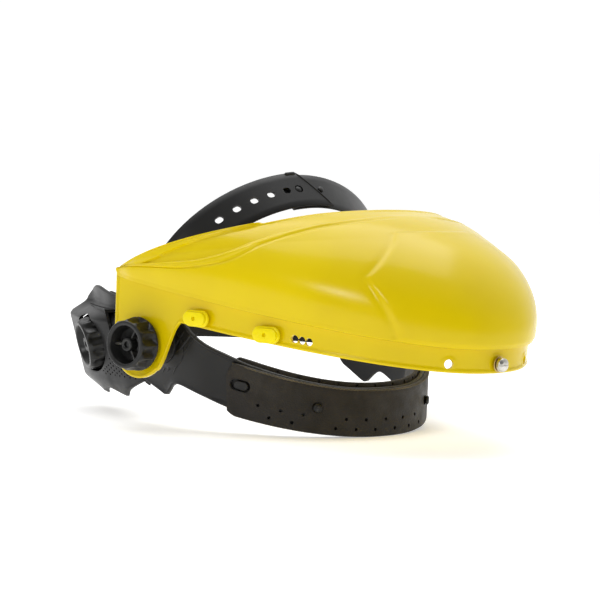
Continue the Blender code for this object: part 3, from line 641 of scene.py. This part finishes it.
def make_lights():
    """White studio behind the object, dimmer in front of it, one broad light above and one small one in front."""
    world = bpy.data.worlds.new("studio")
    bpy.context.scene.world = world
    world.use_nodes = True
    tree = world.node_tree
    sky = tree.nodes["Background"]
    coords = tree.nodes.new("ShaderNodeTexCoord")
    split = tree.nodes.new("ShaderNodeVectorMath")
    split.operation = "DOT_PRODUCT"
    split.inputs[1].default_value = (0.62, 0.68, 0.38)
    tree.links.new(coords.outputs["Generated"], split.inputs[0])
    ramp = tree.nodes.new("ShaderNodeMapRange")
    ramp.inputs["From Min"].default_value, ramp.inputs["From Max"].default_value = -0.5, 0.7
    ramp.inputs["To Min"].default_value, ramp.inputs["To Max"].default_value = 0.15, 1.04
    tree.links.new(split.outputs["Value"], ramp.inputs["Value"])
    tree.links.new(ramp.outputs["Result"], sky.inputs["Strength"])
    sky.inputs["Color"].default_value = (1.0, 1.0, 1.0, 1.0)
    middle = (0.0, -0.06, 0.03)
    area_light("top", (0.25, 0.35, 1.6), middle, (1.8, 1.4), 18)
    area_light("key", (-1.43, -0.55, 0.62), middle, (0.42, 0.22), 4.5)
    bpy.context.scene.view_settings.view_transform = "Standard"


make_camera()
make_floor(cad_box[0].z)
make_lights()


# --- brow guard ---
# Dome lines as (degrees round from the front, share of the way up from the ledge to the rim).
CREASE = ((2, .85), (30, .77), (39, .70), (47, .62), (56, .43), (61, .37), (66, .32), (79, .33), (90, .36))
LEAF_LOW = ((2, .885), (30, .81), (42, .735), (49, .65), (56, .54), (62, .455), (72, .43), (90, .45))
LEAF_TOP = ((30, 1.2), (40, 1.0), (51, .935), (58, .90), (66, .75), (71, .60), (73.5, .50), (74.5, .40), (90, .2))
PANEL_SIDE = ((.03, 26), (.30, 29.5), (.345, 29.5), (.67, 14), (.70, 12))
PANEL_TOP = 0.675
SKIRT_ROWS, DOME_ROWS = 16, 120
EDGE_STEPS = (0.0, 0.35, 0.8, 1.4, 2.0, 2.6)
DOME_SWEEP = math.radians(86)
FRONT_HOLE_RADIUS = 2.8


def bead(distance, height=0.65, width=2.4):
    """Rolled edge: a low round lip that ends `width` from the edge."""
    t = min(max(distance / width, 0.0), 1.0)
    return height * math.sin(math.pi * t) ** 0.8 if 0 < t < 1 else 0.0


def dome_relief(beta, t):
    """Height of the dome's creases, leaf-shaped pocket and raised front panel."""
    around = abs(math.degrees(beta))
    crease, low, top = (eased(line, around, 2.0) for line in (CREASE, LEAF_LOW, LEAF_TOP))
    facet = mix(0.5, 1.3, smooth(20, 50, around)) * smooth(0, 1, (t - crease) / max(low - crease, 0.02))
    groove = 0.9 * max(0.0, 1 - abs(t - crease) / 0.02) - 0.5 * max(0.0, 1 - abs(t - low + 0.02) / 0.02)
    pocket = smooth(low, low + 0.02, t) * (1 - smooth(top - 0.02, top, t)) * smooth(22, 46, around)
    from_side = eased(PANEL_SIDE, t, 0.008) - around
    below_top = 1 - smooth(PANEL_TOP - 0.014, PANEL_TOP, t)
    inside = smooth(0.0, 1.4, from_side) * below_top
    groove += 0.5 * max(0.0, 1 - abs(from_side) / 1.4) * below_top
    return 1.0 * inside - facet - groove * smooth(3, 14, around) - 1.5 * pocket


def ring_relief(point, centres):
    """Low moulded ring round each small hole."""
    height = 0.0
    for centre, radius in centres:
        d = (point - centre).length
        if d < radius + 2.2:
            height = max(height, 0.4 * smooth(radius + 2.2, radius + 1.4, d))
    return height


def shell_grid():
    """Outer and inner skin of the guard: columns round the wearer, rows from the skirt's edge to the rim."""
    rear, start = guard_beta(SHELL_REAR), guard_beta(-36.0)
    tail = [guard_beta(SHELL_REAR - e) for e in reversed(EDGE_STEPS)]
    half = [start * i / 110 for i in range(111)]
    half += [mix(start, tail[0], i / 48) for i in range(1, 48)] + tail
    columns = [-b for b in reversed(half[1:])] + half
    holes = [(wall_place(s * guard_beta(FRONT_HOLE[0]), FRONT_HOLE[1]).translation, FRONT_HOLE_RADIUS)
             for s in (-1, 1)]
    holes.append((wall_place(0.0, SCREW_Z).translation, 5.0))
    base, lifts = [], []
    for beta in columns:
        y = guard_outline(beta)[1]
        low, ledge = skirt_low(y), ledge_height(y)
        tall = ledge - low
        heights = [e / tall for e in EDGE_STEPS]
        heights += [mix(heights[-1], 1 - 0.7 / tall, k / SKIRT_ROWS) for k in range(1, SKIRT_ROWS + 1)] + [1.0]
        column, lift = [], []
        for t in heights:
            tuck = smooth(16.0, 40.0, abs(y)) * (1 - t)
            point = Vector((*guard_outline(beta, -tuck), mix(low, ledge, t)))
            column.append(point)
            from_edge = min(t * tall, SHELL_REAR - y)
            lift.append(max(bead(from_edge), ring_relief(point, holes)))
        top = rim_point(math.copysign(math.pi / 2 * (abs(beta) / rear) ** 1.05, beta))
        overhang = LEDGE_OUT * (1 - smooth(4.0, SHELL_REAR, y))
        base_point = Vector((*guard_outline(beta, overhang), ledge + LEDGE_STEP))
        for share, rise in ((0.3, 0.1), (0.93, 0.5), (1.0, 1.3)):
            column.append(Vector((*guard_outline(beta, overhang * share), ledge + rise)))
            lift.append(0.0)
        shares = [0.0, 0.01] + [mix(0.02, 0.955, k / DOME_ROWS) for k in range(DOME_ROWS + 1)]
        shares += [0.963, 0.971, 0.979, 0.987, 0.994, 1.0]
        for t in shares:
            s = DOME_SWEEP * t
            flatter = mix(0.85, 1.3, smooth(0.95, 0.3, abs(abs(beta) - 0.35)))
            point = base_point.lerp(Vector((top.x, top.y, base_point.z)), 1 - math.cos(s) ** flatter)
            point.z = mix(base_point.z, top.z, math.sin(s) / math.sin(DOME_SWEEP))
            swell = DOME_BULGE * math.sin(math.pi * min(t * 1.6, 1.0)) * math.sqrt(max(math.cos(beta), 0.0))
            column.append(point + guard_normal(beta) * swell)
            lift.append(dome_relief(beta, t) + bead(1 - t, 0.7, 0.045) + bead(SHELL_REAR - y))
        base.append(column)
        lifts.append(lift)
    under = [[0.8 * min(lift, 0.0) - SHELL_WALL for lift in line] for line in lifts]
    return offset_grid(base, lifts), offset_grid(base, under)


def offset_grid(grid, lifts):
    """Copy of a grid moved out along its own normals."""
    moved = []
    for i, column in enumerate(grid):
        before, after = grid[max(i - 1, 0)], grid[min(i + 1, len(grid) - 1)]
        line = []
        for k, point in enumerate(column):
            up = column[min(k + 1, len(column) - 1)] - column[max(k - 1, 0)]
            normal = (after[k] - before[k]).cross(up).normalized()
            line.append(point + normal * lifts[i][k])
        moved.append(line)
    return moved


def make_shell():
    outer, inner = shell_grid()
    rings = [out + list(reversed(inn)) for out, inn in zip(outer, inner)]
    shell = piece("guard_shell", loft(rings), "guard_yellow", "brow_guard", ("brow_guard",))
    tools = []
    for side in (-1, 1):
        tools.append(drill(4.3, 2.0, 26.0, 40, pivot_side(side)))
        for y, z in PEG_SPOTS:
            tools.append(placed(oval_stack(8.4, 5.0, [(0, -8), (0, 8)]), wall_place(side * guard_beta(y), z)))
        front = wall_place(side * guard_beta(FRONT_HOLE[0]), FRONT_HOLE[1])
        tools.append(drill(FRONT_HOLE_RADIUS, -8, 8, 36, front))
    tools.append(drill(2.3, -8, 8, 32, wall_place(0.0, SCREW_Z)))
    carve(shell, *tools)
    for n in range(3):
        lobes = []
        for side in (-1, 1):
            spot = wall_place(side * guard_beta(-112.3 - 4.3 * n), 68.9 - 0.6 * n)
            lobes.append(drill(2.4, -8, 8, 28, spot))
        carve(shell, *lobes)


make_shell()


# --- pegs, screw and pivots ---
def make_window_peg(name, side, y, z):
    """Quarter-turn button: oval flange, raised oval face with a rounded rim and a moulded centre dimple."""
    place = wall_place(side * guard_beta(y), z)
    body = [(0.5, 1.6), (0.0, 2.1), (0.0, 3.3), (0.25, 3.7), (0.9, 3.9), (1.0, 4.3), (1.0, 5.2), (1.25, 5.75),
            (1.8, 6.0)]
    button = placed(oval_stack(PEG_LENGTH, PEG_WIDTH, body, 16), place)
    neck = placed(turned([(2.1, -6.2), (2.1, 2.2)], 24), place)
    bar = placed(oval_stack(9.6, 4.4, [(0.5, -8.0), (0, -7.6), (0, -6.4), (0.4, -6.0)], 10), place)
    peg = piece(name + "_button", button, "peg_yellow")
    dish = rounded_profile([(0.8, PEG_PROUD - 1.9), (1.2, PEG_PROUD - 0.5), (1.7, PEG_PROUD + 1)], 0.3)
    carve(peg, placed(turned(dish, 24), place))
    piece(name + "_lock", joined(neck, bar), "peg_yellow", name)
    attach(peg, name)
    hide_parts(name)


for word, side in SIDES:
    for n, (y, z) in enumerate(PEG_SPOTS):
        make_window_peg(f"{word}_window_peg_{('rear', 'front')[n]}", side, y, z)


def make_front_screw():
    place = wall_place(0.0, SCREW_Z)
    shank = [(2.0, -7.5), (2.0, 2.6), (4.3, 2.9), (4.3, 5.0), (3.7, 5.9), (2.4, 6.4), (1.0, 6.5)]
    bm = turned(rounded_profile(shank, 0.4), 56)
    screw = piece("screw_head", placed(bm, place), "nickel", "front_screw", ("front_screw",))
    slot = loft([[Vector((x, y, h)) for x, y in ((-6, -0.5), (6, -0.5), (6, 0.5), (-6, 0.5))] for h in (5.2, 8.0)])
    carve(screw, placed(slot, place))
    softened(screw, 0.12)


make_front_screw()


def scalloped_knob(name, place, node, radius, base, top, hub, first=180.0, wave=2.5):
    """Open-cup knob: widely scooped skirt, thin rolled rim, three spokes and a dished hub."""
    outer = [(radius - 0.6, base, 0.0), (radius, base + 0.5, 0.0), (radius, base + 1.3, 0.0),
             (radius - 0.1, base + 1.7, wave * 0.6), (radius - 0.3, base + 2.6, wave), (radius - 0.6, top - 5.0, wave),
             (radius - 0.75, top - 3.4, wave * 0.8), (radius - 1.0, top - 2.2, wave * 0.5),
             (radius - 1.6, top - 1.4, wave * 0.15), (radius - 2.0, top - 0.6, 0.0), (radius - 2.4, top - 0.1, 0.0),
             (radius - 2.8, top, 0.0)]
    cup = [(radius - 4.2, top, 0.0), (radius - 4.7, top - 0.3, 0.0), (radius - 5.1, top - 1.0, 0.0),
           (radius - 6.3, top - 7.4, 0.0), (radius - 6.9, top - 8.0, 0.0), (hub + 0.9, top - 8.0, 0.0),
           (hub + 0.3, top - 7.5, 0.0), (hub - 0.3, top - 2.7, 0.0), (hub - 0.8, top - 2.1, 0.0),
           (hub - 1.2, top - 2.0, 0.0), (2.5, top - 2.0, 0.0), (2.0, top - 2.4, 0.0), (1.9, top - 3.6, 0.0)]
    parts = [turned(outer + cup, 144)]
    for n in range(3):
        half, inner, reach = 0.85, hub - 0.6, radius - 5.2
        corners = ((inner, -half), (reach, -half), (reach, half), (inner, half))
        spoke = bmesh.new()
        lower = [spoke.verts.new((x, w * 1.25, top - 8.4)) for x, w in corners]
        mid = [spoke.verts.new((x, w, top - 4.6)) for x, w in corners]
        crown = [spoke.verts.new((x, w * 0.6, top - 4.1)) for x, w in corners]
        for a, b in ((lower, mid), (mid, crown)):
            for i in range(4):
                j = (i + 1) % 4
                spoke.faces.new((a[i], a[j], b[j], b[i]))
        spoke.faces.new(lower)
        spoke.faces.new(crown)
        spoke.transform(Matrix.Rotation(math.radians(first + 120 * n), 4, "Z"))
        parts.append(spoke)
    piece(name, placed(joined(*parts), place), "knob_black", node, (node,))


for word, side in SIDES:
    base = SEAT_TO_SKIN + 2.6
    scalloped_knob(f"{word}_knob_cup", pivot_side(side), f"{word}_pivot_knob", KNOB_RADIUS, base, base + KNOB_HEIGHT,
                   4.6)
scalloped_knob("ratchet_knob_cup", ratchet_place(), "ratchet_knob", 18.0, 10.8, 23.5, 5.2, first=90.0, wave=2.0)


# --- head band and sweatband ---
BAND_EDGE_STEPS = (0.0, 0.5, 1.0, 1.6, 2.2, 2.8)


def band_edges(angle):
    """Low and high edge of the head band at an angle, with rounded corners."""
    y = harness_line(angle).y
    tail = smooth(98, 106, 180 - abs(180 - abs(angle) % 360))
    low = mix(eased(LOW_EDGE, y, 2.2), RATCHET_Z - RACK_HEIGHT / 2, tail)
    high = mix(eased(HIGH_EDGE, y, 3.0), RATCHET_Z + RACK_HEIGHT / 2, tail)
    return low, high, tail


def plate_relief(z, low, high, tail):
    """Rolled rims on the side plates."""
    rim = max(bead(high - z, 0.55, 2.6), bead(z - low, 0.55, 2.6))
    return rim * (1 - tail)


def make_head_band():
    start, stop = RATCHET_ANGLE - 360 - 17, RATCHET_ANGLE + 15
    count = 300
    rings = []
    for i in range(count + 1):
        angle = mix(start, stop, i / count)
        low, high, tail = band_edges(angle)
        shift = TAIL_OUT * smooth(-200, -222, angle)
        tall = high - low
        heights = [h / tall for h in BAND_EDGE_STEPS]
        heights += ([mix(heights[-1], 1 - heights[-1], k / 16) for k in range(1, 16)]
                    + [1 - h for h in reversed(heights)])
        ring = []
        for face, shares in ((1, heights), (-1, list(reversed(heights)))):
            for share in shares:
                z = mix(low, high, share)
                half = BAND_WALL / 2 * (0.55 if share in (0.0, 1.0) else 1.0)
                out = face * half + shift
                if face > 0:
                    out += plate_relief(z, low, high, tail)
                ring.append(band_spot(angle, z, out))
        rings.append(ring)
    band = piece("head_band", loft(rings), "harness_black", "harness", ("headband",))
    tools = []
    for side in (-1, 1):
        tools.append(drill(14.0, -12, 6, 64, level_side(side)))
        tools.append(drill(3.0, 2, 22, 32, strap_foot_place(side)))
    carve(band, *tools)
    for offset, toothed in ((0.0, -1), (TAIL_OUT, 1)):
        carve(band, rack_window(offset, toothed))


def rack_window(offset, toothed):
    """Tool for the slot in a tail, with rack teeth along its low (-1) or high (1) edge."""
    rings = []
    for k in range(41):
        angle = RATCHET_ANGLE - 9.9 + 19.9 * k / 40
        edge = WINDOW_HALF + (0.0, 0.45, 0.9, 0.45)[k % 4]
        low = -(edge if toothed < 0 else WINDOW_HALF + 0.9)
        high = edge if toothed > 0 else WINDOW_HALF + 0.9
        ring = []
        for out, rise in ((-1.7, low), (1.7, low), (1.7, high), (-1.7, high)):
            ring.append(band_spot(angle, RATCHET_Z + rise, offset + out))
        rings.append(ring)
    return loft(rings)


def make_band_pegs():
    """Pegs that hold the sweatband: a round stud in front, an oval tab at its end."""
    for word, side in SIDES:
        for n, angle in enumerate(BAND_PEG_ANGLES):
            spot = band_place(side * -angle, BAND_PEG_Z[n])
            if n == 0:
                profile = [(2.0, 0.0), (2.0, 5.2), (2.9, 5.7), (2.9, 6.6), (2.3, 7.2), (1.2, 7.4)]
                peg = placed(turned(rounded_profile(profile, 0.35), 32), spot)
            else:
                tab = oval_stack(10.0, 5.6, [(0.3, 0.8), (0.0, 1.2), (0.0, 4.4), (0.5, 5.0)])
                peg = placed(tab, spot @ Matrix.Translation((0.6, 0, 0)) @ Matrix.Rotation(TAB_TURN, 4, "Z"))
            piece(f"{word}_band_peg_{n}", peg, "harness_black", "harness")


def plate_spot(side, y, z, out):
    """Point on a side plate's surface at (y, z)."""
    u = min(abs(HARNESS_CENTRE - y) / (HARNESS_FRONT if y < HARNESS_CENTRE else HARNESS_REAR), 1.0)
    angle = math.degrees(math.acos(u ** (HARNESS_ROUND / 2)))
    angle = -side * (angle if y < HARNESS_CENTRE else 180 - angle)
    return band_spot(angle, z, out)


def make_plate_details():
    """Collar round each pivot ball, ribbed channel and raised front rim on the side plates."""
    for word, side in SIDES:
        turns = [2 * math.pi * k / 64 for k in range(64)]

        def on_plate(radius, out):
            return [plate_spot(side, radius * math.cos(a), PIVOT_Z + radius * math.sin(a), out) for a in turns]

        def on_ball(radius, height):
            centre = level_side(side) @ Vector((0, 0, height))
            return [centre + Vector((0, radius * math.cos(a), radius * math.sin(a))) for a in turns]

        rings = [on_plate(17.2, 0.9), on_plate(17.0, 1.6), on_plate(16.2, 1.9), on_ball(13.7, -2.6),
                 on_ball(12.4, -2.6), on_ball(12.4, -3.4), on_plate(13.0, -1.0)]
        piece(f"{word}_pivot_collar", loft(rings, loop=True), "harness_black", "harness", angle=30)
        beads = []
        for shift, radius, reach in ((0.0, 0.95, 0.0), (-4.6, 0.5, 1.5), (4.6, 0.5, 1.5)):
            spots = [plate_spot(side, mix(-24.0, 1.5, k / 14) + shift, mix(64.0 + reach, 38.0 - reach, k / 14), 1.2)
                     for k in range(15)]
            beads.append(tube(spots, radius, 10))
        rim_angles = [mix(49.5, 76.0, k / 30) * -side for k in range(31)]
        beads.append(tube([band_spot(a, band_edges(a)[1] - 1.0, 1.3) for a in rim_angles], 0.85, 10))
        piece(f"{word}_plate_ribs", joined(*beads), "harness_black", "harness")


def sweat_edges(angle):
    """Low and high edge of the sweatband at an angle."""
    y = harness_line(angle).y
    low = 3.5 + 0.215 * (y + 98)
    high = 37.0 + 0.285 * (y + 98)
    return low, high


def make_sweatband():
    """Leatherette strip folded over the foot of the head band: long inner face, shorter outer flap."""
    rings = []
    for i in range(181):
        angle = mix(-SWEAT_HALF_ANGLE, SWEAT_HALF_ANGLE, i / 180)
        low, high = sweat_edges(angle)
        end = smooth(0.0, 3.2, min(angle + SWEAT_HALF_ANGLE, SWEAT_HALF_ANGLE - angle))
        low, high = mix(low + 2, low, end ** 0.5), mix(high - 8, high, end ** 0.5)
        flap = high - 3.5
        inner, outer, hole, foot = -4.3, 4.6, BAND_WALL / 2 + 0.6, low + 1.9
        path = [(outer - 0.3, low + 0.5), (outer, low + 1.6)]
        path += [(outer + 0.12 * math.sin(math.pi * k / 12), mix(low + 1.6, flap - 0.9, k / 12)) for k in range(1, 12)]
        path += [(outer, flap - 0.9), (outer - 0.3, flap - 0.25), (outer - 1.0, flap), (hole + 0.3, flap)]
        path += [(hole, flap - 0.3)] + [(hole, mix(flap, foot, k / 10)) for k in range(1, 10)] + [(hole, foot)]
        path += [(-hole, foot)] + [(-hole, mix(foot, high, k / 12)) for k in range(1, 12)]
        path += [(-hole, high - 0.3), (-hole - 0.4, high), (inner + 0.6, high), (inner, high - 0.6)]
        path += [(inner - 0.1 * math.sin(math.pi * k / 12), mix(high - 0.6, low + 1.4, k / 12)) for k in range(1, 13)]
        path += [(inner + 0.5, low + 0.4), (inner + 1.5, low), (mix(inner, outer, 0.5), low - 0.1), (outer - 1.2, low)]
        rings.append([band_spot(angle, z, out) for out, z in path])
    band = piece("sweatband_wrap", loft(rings), "sweatband_brown", "harness", ("sweatband",), 50)
    holes = []
    for side in (-1, 1):
        spot = band_place(side * -BAND_PEG_ANGLES[0], BAND_PEG_Z[0])
        holes.append(drill(3.3, 0.5, 9.0, 28, spot))
        slot = band_place(side * -BAND_PEG_ANGLES[1], BAND_PEG_Z[1]) @ Matrix.Rotation(TAB_TURN, 4, "Z")
        holes.append(placed(oval_stack(13.5, 7.4, [(0, 1.5), (0, 9)]), slot))
    carve(band, *holes)
    pricks = []
    for rise, shift in ((4.8, 0.5), (11.0, 0.0)):
        for k in range(-6, 7):
            angle = (k + shift) * HOLE_PITCH
            low, _ = sweat_edges(angle)
            if abs(abs(angle) - BAND_PEG_ANGLES[0]) > 3.5 and abs(angle) < 52:
                pricks.append(drill(1.15, 1.5, 7.0, 16, band_place(angle, low + rise)))
    for k in range(-5, 6):
        angle = (k + 0.25) * HOLE_PITCH
        pricks.append(drill(1.1, -3.0, -0.5, 16, band_place(angle, sweat_edges(angle)[1] - 1.9)))
    carve(band, *pricks)
    hem = []
    for i in range(241):
        angle = mix(-60.5, 60.5, i / 240)
        height = sweat_edges(angle)[1] - 4.2 + 0.18 * math.sin(i * 2.2)
        hem.append(harness_point(angle, 4.75)[0] + Vector((0, 0, height)))
    piece("sweatband_hem", tube(hem, 0.42, 6), "hem_tan", "harness")
    return band


make_head_band()
make_band_pegs()
wrap = make_sweatband()
make_plate_details()


# --- crown straps ---
def strap_section():
    """Cross-section of a crown strap, as (across, outward)."""
    half, wall = STRAP_WIDTH / 2, STRAP_WALL
    section = [(-half + 0.7, -wall / 2), (half - 0.7, -wall / 2), (half - 0.1, -wall * 0.25), (half, 0.0),
               (half - 0.1, wall * 0.25), (half - 0.7, wall / 2)]
    section += [(mix(half - 0.7, 0.7 - half, k / 6), wall / 2) for k in range(1, 6)]
    return section + [(-half + 0.7, wall / 2), (-half + 0.1, wall * 0.25), (-half, 0.0), (-half + 0.1, -wall * 0.25)]


def make_strap(name, start, stop, lift, slant, node):
    """One crown strap from its plate to its free end, which is cut at a slant."""
    rings = []
    steps = 120
    section = strap_section()
    for k in range(steps + 1):
        turn = mix(start, stop, k / steps)
        ease = smooth(0.72, 1.0, k / steps)
        ring = []
        for side, up in section:
            point, across, out = strap_frame(turn - slant * ease * side / (STRAP_WIDTH / 2), lift)
            ring.append(point + across * side + out * up)
        rings.append(ring)
    return piece(name, loft(rings), "harness_black", "harness", (node,))


def oval_hole(turn, lift, length, width, depth=4.0):
    """Oval tool whose long side runs along the strap."""
    point, across, out = strap_frame(turn, lift)
    bm = oval_stack(length, width, [(0, -depth), (0, depth)], 10)
    return placed(bm, frame_matrix(point, out, -across))


def make_crown_straps():
    right = make_strap("strap_right", -0.985, RIGHT_STRAP_END, RIGHT_STRAP_LIFT, STRAP_END_SLANT,
                       "crown_strap_right")
    left = make_strap("strap_left", 0.985, -0.14, LEFT_STRAP_LIFT, 0.0, "crown_strap_left")
    turns = [-0.484 + 0.0952 * n - 0.0022 * n * n for n in range(5)]
    carve(right, *[oval_hole(turn, RIGHT_STRAP_LIFT, 5.8, 4.4) for turn in turns],
          oval_hole(STUD_TURNS[0], RIGHT_STRAP_LIFT, 6.2, 5.5))
    studs = []
    for turn in STUD_TURNS:
        point, across, out = strap_frame(turn, LEFT_STRAP_LIFT)
        profile = [(1.9, 0.3), (1.9, 2.2), (2.3, 2.7), (2.2, 3.1), (1.5, 3.5)]
        studs.append(placed(turned(rounded_profile(profile, 0.3), 28), frame_matrix(point, out, across)))
    piece("strap_studs", joined(*studs), "harness_black", "harness")
    lip, ups = [], []
    for k in range(13):
        side = mix(-0.96, 0.96, k / 12)
        point, across, out = strap_frame(RIGHT_STRAP_END - STRAP_END_SLANT * side - 0.004, 2.1)
        lip.append(point + across * side * STRAP_WIDTH / 2)
        ups.append(out)
    keeper, up = [], []
    for k in range(9):
        point, across, out = strap_frame(-0.05 - 0.007 * k, 2.3)
        keeper.append(point + across * (STRAP_WIDTH / 2 - 0.9))
        up.append(out)
    piece("strap_end_lip", joined(tube(lip, 0.9, 10, ups=ups), tube(keeper, 1.2, 10, 0.8, up)), "harness_black",
          "harness")
    for strap, side in ((right, -1), (left, 1)):
        carve(strap, drill(3.0, -7, 7, 28, strap_foot_place(side)))


make_crown_straps()


# --- back of the head ---
NAPE_FIRST, NAPE_LAST = 96.0, 138.0
WELL_RADIUS, WELL_RIM, WELL_FLOOR = 19.3, 20.4, 9.0
BAND_MM_PER_DEGREE, BAND_BEND, GRIP_CLEARANCE = 1.75, 190, 26.0
# Plate lines as (degrees round the head, thickness or rise from the knob).
NAPE_HEIGHT = ((96, 3.4), (98, 4.6), (101, 6.5), (104, 9.5), (110, 14.5), (114, 16.8), (121, 19.0), (132, 22.5),
               (138, 25.0))
NAPE_LOW = ((96, -24), (98, -26), (100, -28), (105, -33), (108, -37), (111, -38), (115, -35.5), (119.5, -34),
            (124, -36), (128, -39.5), (131, -39), (134, -35), (138, -29))
NAPE_TOP = ((96, -8), (98, 4), (100, 15), (104, 25), (108, 29), (114, 31), (120, 33.5), (126, 33), (131, 29), (135, 22),
            (138, 13))


def nape_out(angle, rise):
    """How far the nape plate's face stands off: thick round the knob, thin above it, rounded at the foot."""
    body = eased(NAPE_HEIGHT, angle, 1.5)
    plate = 4.0 + 0.06 * max(angle - 100, 0) + 7.0 * smooth(128, 138, angle)
    thick = mix(body, min(plate, body), smooth(11.0, 23.0, rise))
    return thick - 0.35 * body * smooth(-27.0, -40.0, rise)


def nape_lean(angle, rise):
    """The ratchet's tilt, easing in from the plate's front edge."""
    return math.tan(RATCHET_TILT) * rise * smooth(96, 113, angle)


def make_nape_plate():
    """Housing surround: upright plate with a sunk well for the knob and a dimpled grip in front of it."""
    rings = []
    for i in range(87):
        angle = mix(NAPE_FIRST, NAPE_LAST, i / 86)
        low, top = eased(NAPE_LOW, angle, 1.2), eased(NAPE_TOP, angle, 2.0)
        face, back = [], []
        for k in range(61):
            rise = mix(low, top, k / 60)
            edge = min(rise - low, top - rise, (angle - NAPE_FIRST) * 1.8, (NAPE_LAST - angle) * 1.8)
            round_off = 1.6 * (1 - math.sqrt(max(1 - (1 - min(edge / 1.6, 1.0)) ** 2, 0.0)))
            out = nape_out(angle, rise)
            z = RATCHET_Z + rise
            lean = nape_lean(angle, rise)
            for line, reach in ((face, out - round_off), (back, out - 2.4 - 0.4 * (1 - round_off / 1.6))):
                point, _ = harness_point(angle, reach + lean)
                line.append(Vector((point.x, point.y, z)))
        rings.append(face + list(reversed(back)))
    plate = piece("nape_plate", loft(rings), "harness_black", "harness")
    knob = ratchet_place()
    carve(plate, drill(WELL_RADIUS, -6.0, 32.0, 96, knob))
    floor, wall = ring_points(WELL_RIM, WELL_FLOOR, 96), []
    for point in floor:
        height = (nape_out(RATCHET_ANGLE - point.x / BAND_MM_PER_DEGREE, point.y) - 0.7
                  - point.x ** 2 / BAND_BEND)
        wall.append(point.xy.to_3d() + Vector((0, 0, max(height, 10.2))))
    for point in wall:
        point.z += 1.6 * smooth(4.0, -14.0, point.x)
    rim = [Vector((w.x * 0.95, w.y * 0.95, w.z)) for w in wall]
    rings = [ring_points(5.2, WELL_FLOOR, 96), floor, wall, rim, ring_points(WELL_RIM * 0.95, 10.1, 96),
             ring_points(5.2, 10.1, 96)]
    piece("knob_well", placed(loft(rings, loop=True), knob), "harness_black", "harness")
    dots = []
    for i in range(14):
        for k in range(8):
            angle, rise = 99.5 + 1.25 * i, -23.5 + 3.0 * k + 1.5 * (i % 2)
            point, normal = harness_point(angle, nape_out(angle, rise) + nape_lean(angle, rise))
            place = frame_matrix((point.x, point.y, RATCHET_Z + rise), normal)
            if (place.translation - knob.translation).length > GRIP_CLEARANCE:
                dots.append(drill(0.65, -0.8, 2.5, 8, place))
    carve(plate, *dots)


def make_nape_pad():
    """Foam pad between the ratchet and the head, puffed between its edges."""
    rings = []
    for i in range(61):
        angle = RATCHET_ANGLE - 22 + 52 * i / 60
        t = (angle - RATCHET_ANGLE - 3.0) / 26.0
        low, top = -26.0 - 2.5 * math.cos(2 * math.pi * t), 29.0 - 7.0 * t * t
        puff = max(1 - abs(t) ** 4, 0.0) ** 0.6
        section = [(-5.8, low + 0.4), *((-5.75, mix(low, top, s)) for s in (0.25, 0.5, 0.75)), (-5.8, top - 0.4)]
        for k in range(15):
            share = k / 14
            bulge = (max(1 - abs(2 * share - 1) ** 4, 0.0)) ** 0.5
            seam = 1.0 * math.exp(-((share - 0.5) * 9.0) ** 2 * 4)
            section.append((-6.4 - 3.0 * bulge * (0.25 + 0.75 * puff) + seam * puff, mix(top, low, share)))
        rings.append([band_spot(angle, RATCHET_Z + rise, out) for out, rise in section])
    pad = piece("nape_cushion", loft(rings), "rubber_black", "harness", ("nape_pad",), 60)


make_nape_plate()
make_nape_pad()


# --- carried-over CAD nodes ---
def dress_nodes():
    """Give each CAD node that stays its own finish and softly rounded edges."""
    for node in frame["nodes"].values():
        if node.hide_render:
            continue
        for slot in node.material_slots:
            key = slot.material.name.split(".")[0] if slot.material else "harness_black"
            slot.material = LOOKS.get(key, LOOKS["harness_black"])
        weld = node.modifiers.new("weld", "WELD")
        weld.merge_threshold = 1e-6
        softened(node, 0.3)


dress_nodes()
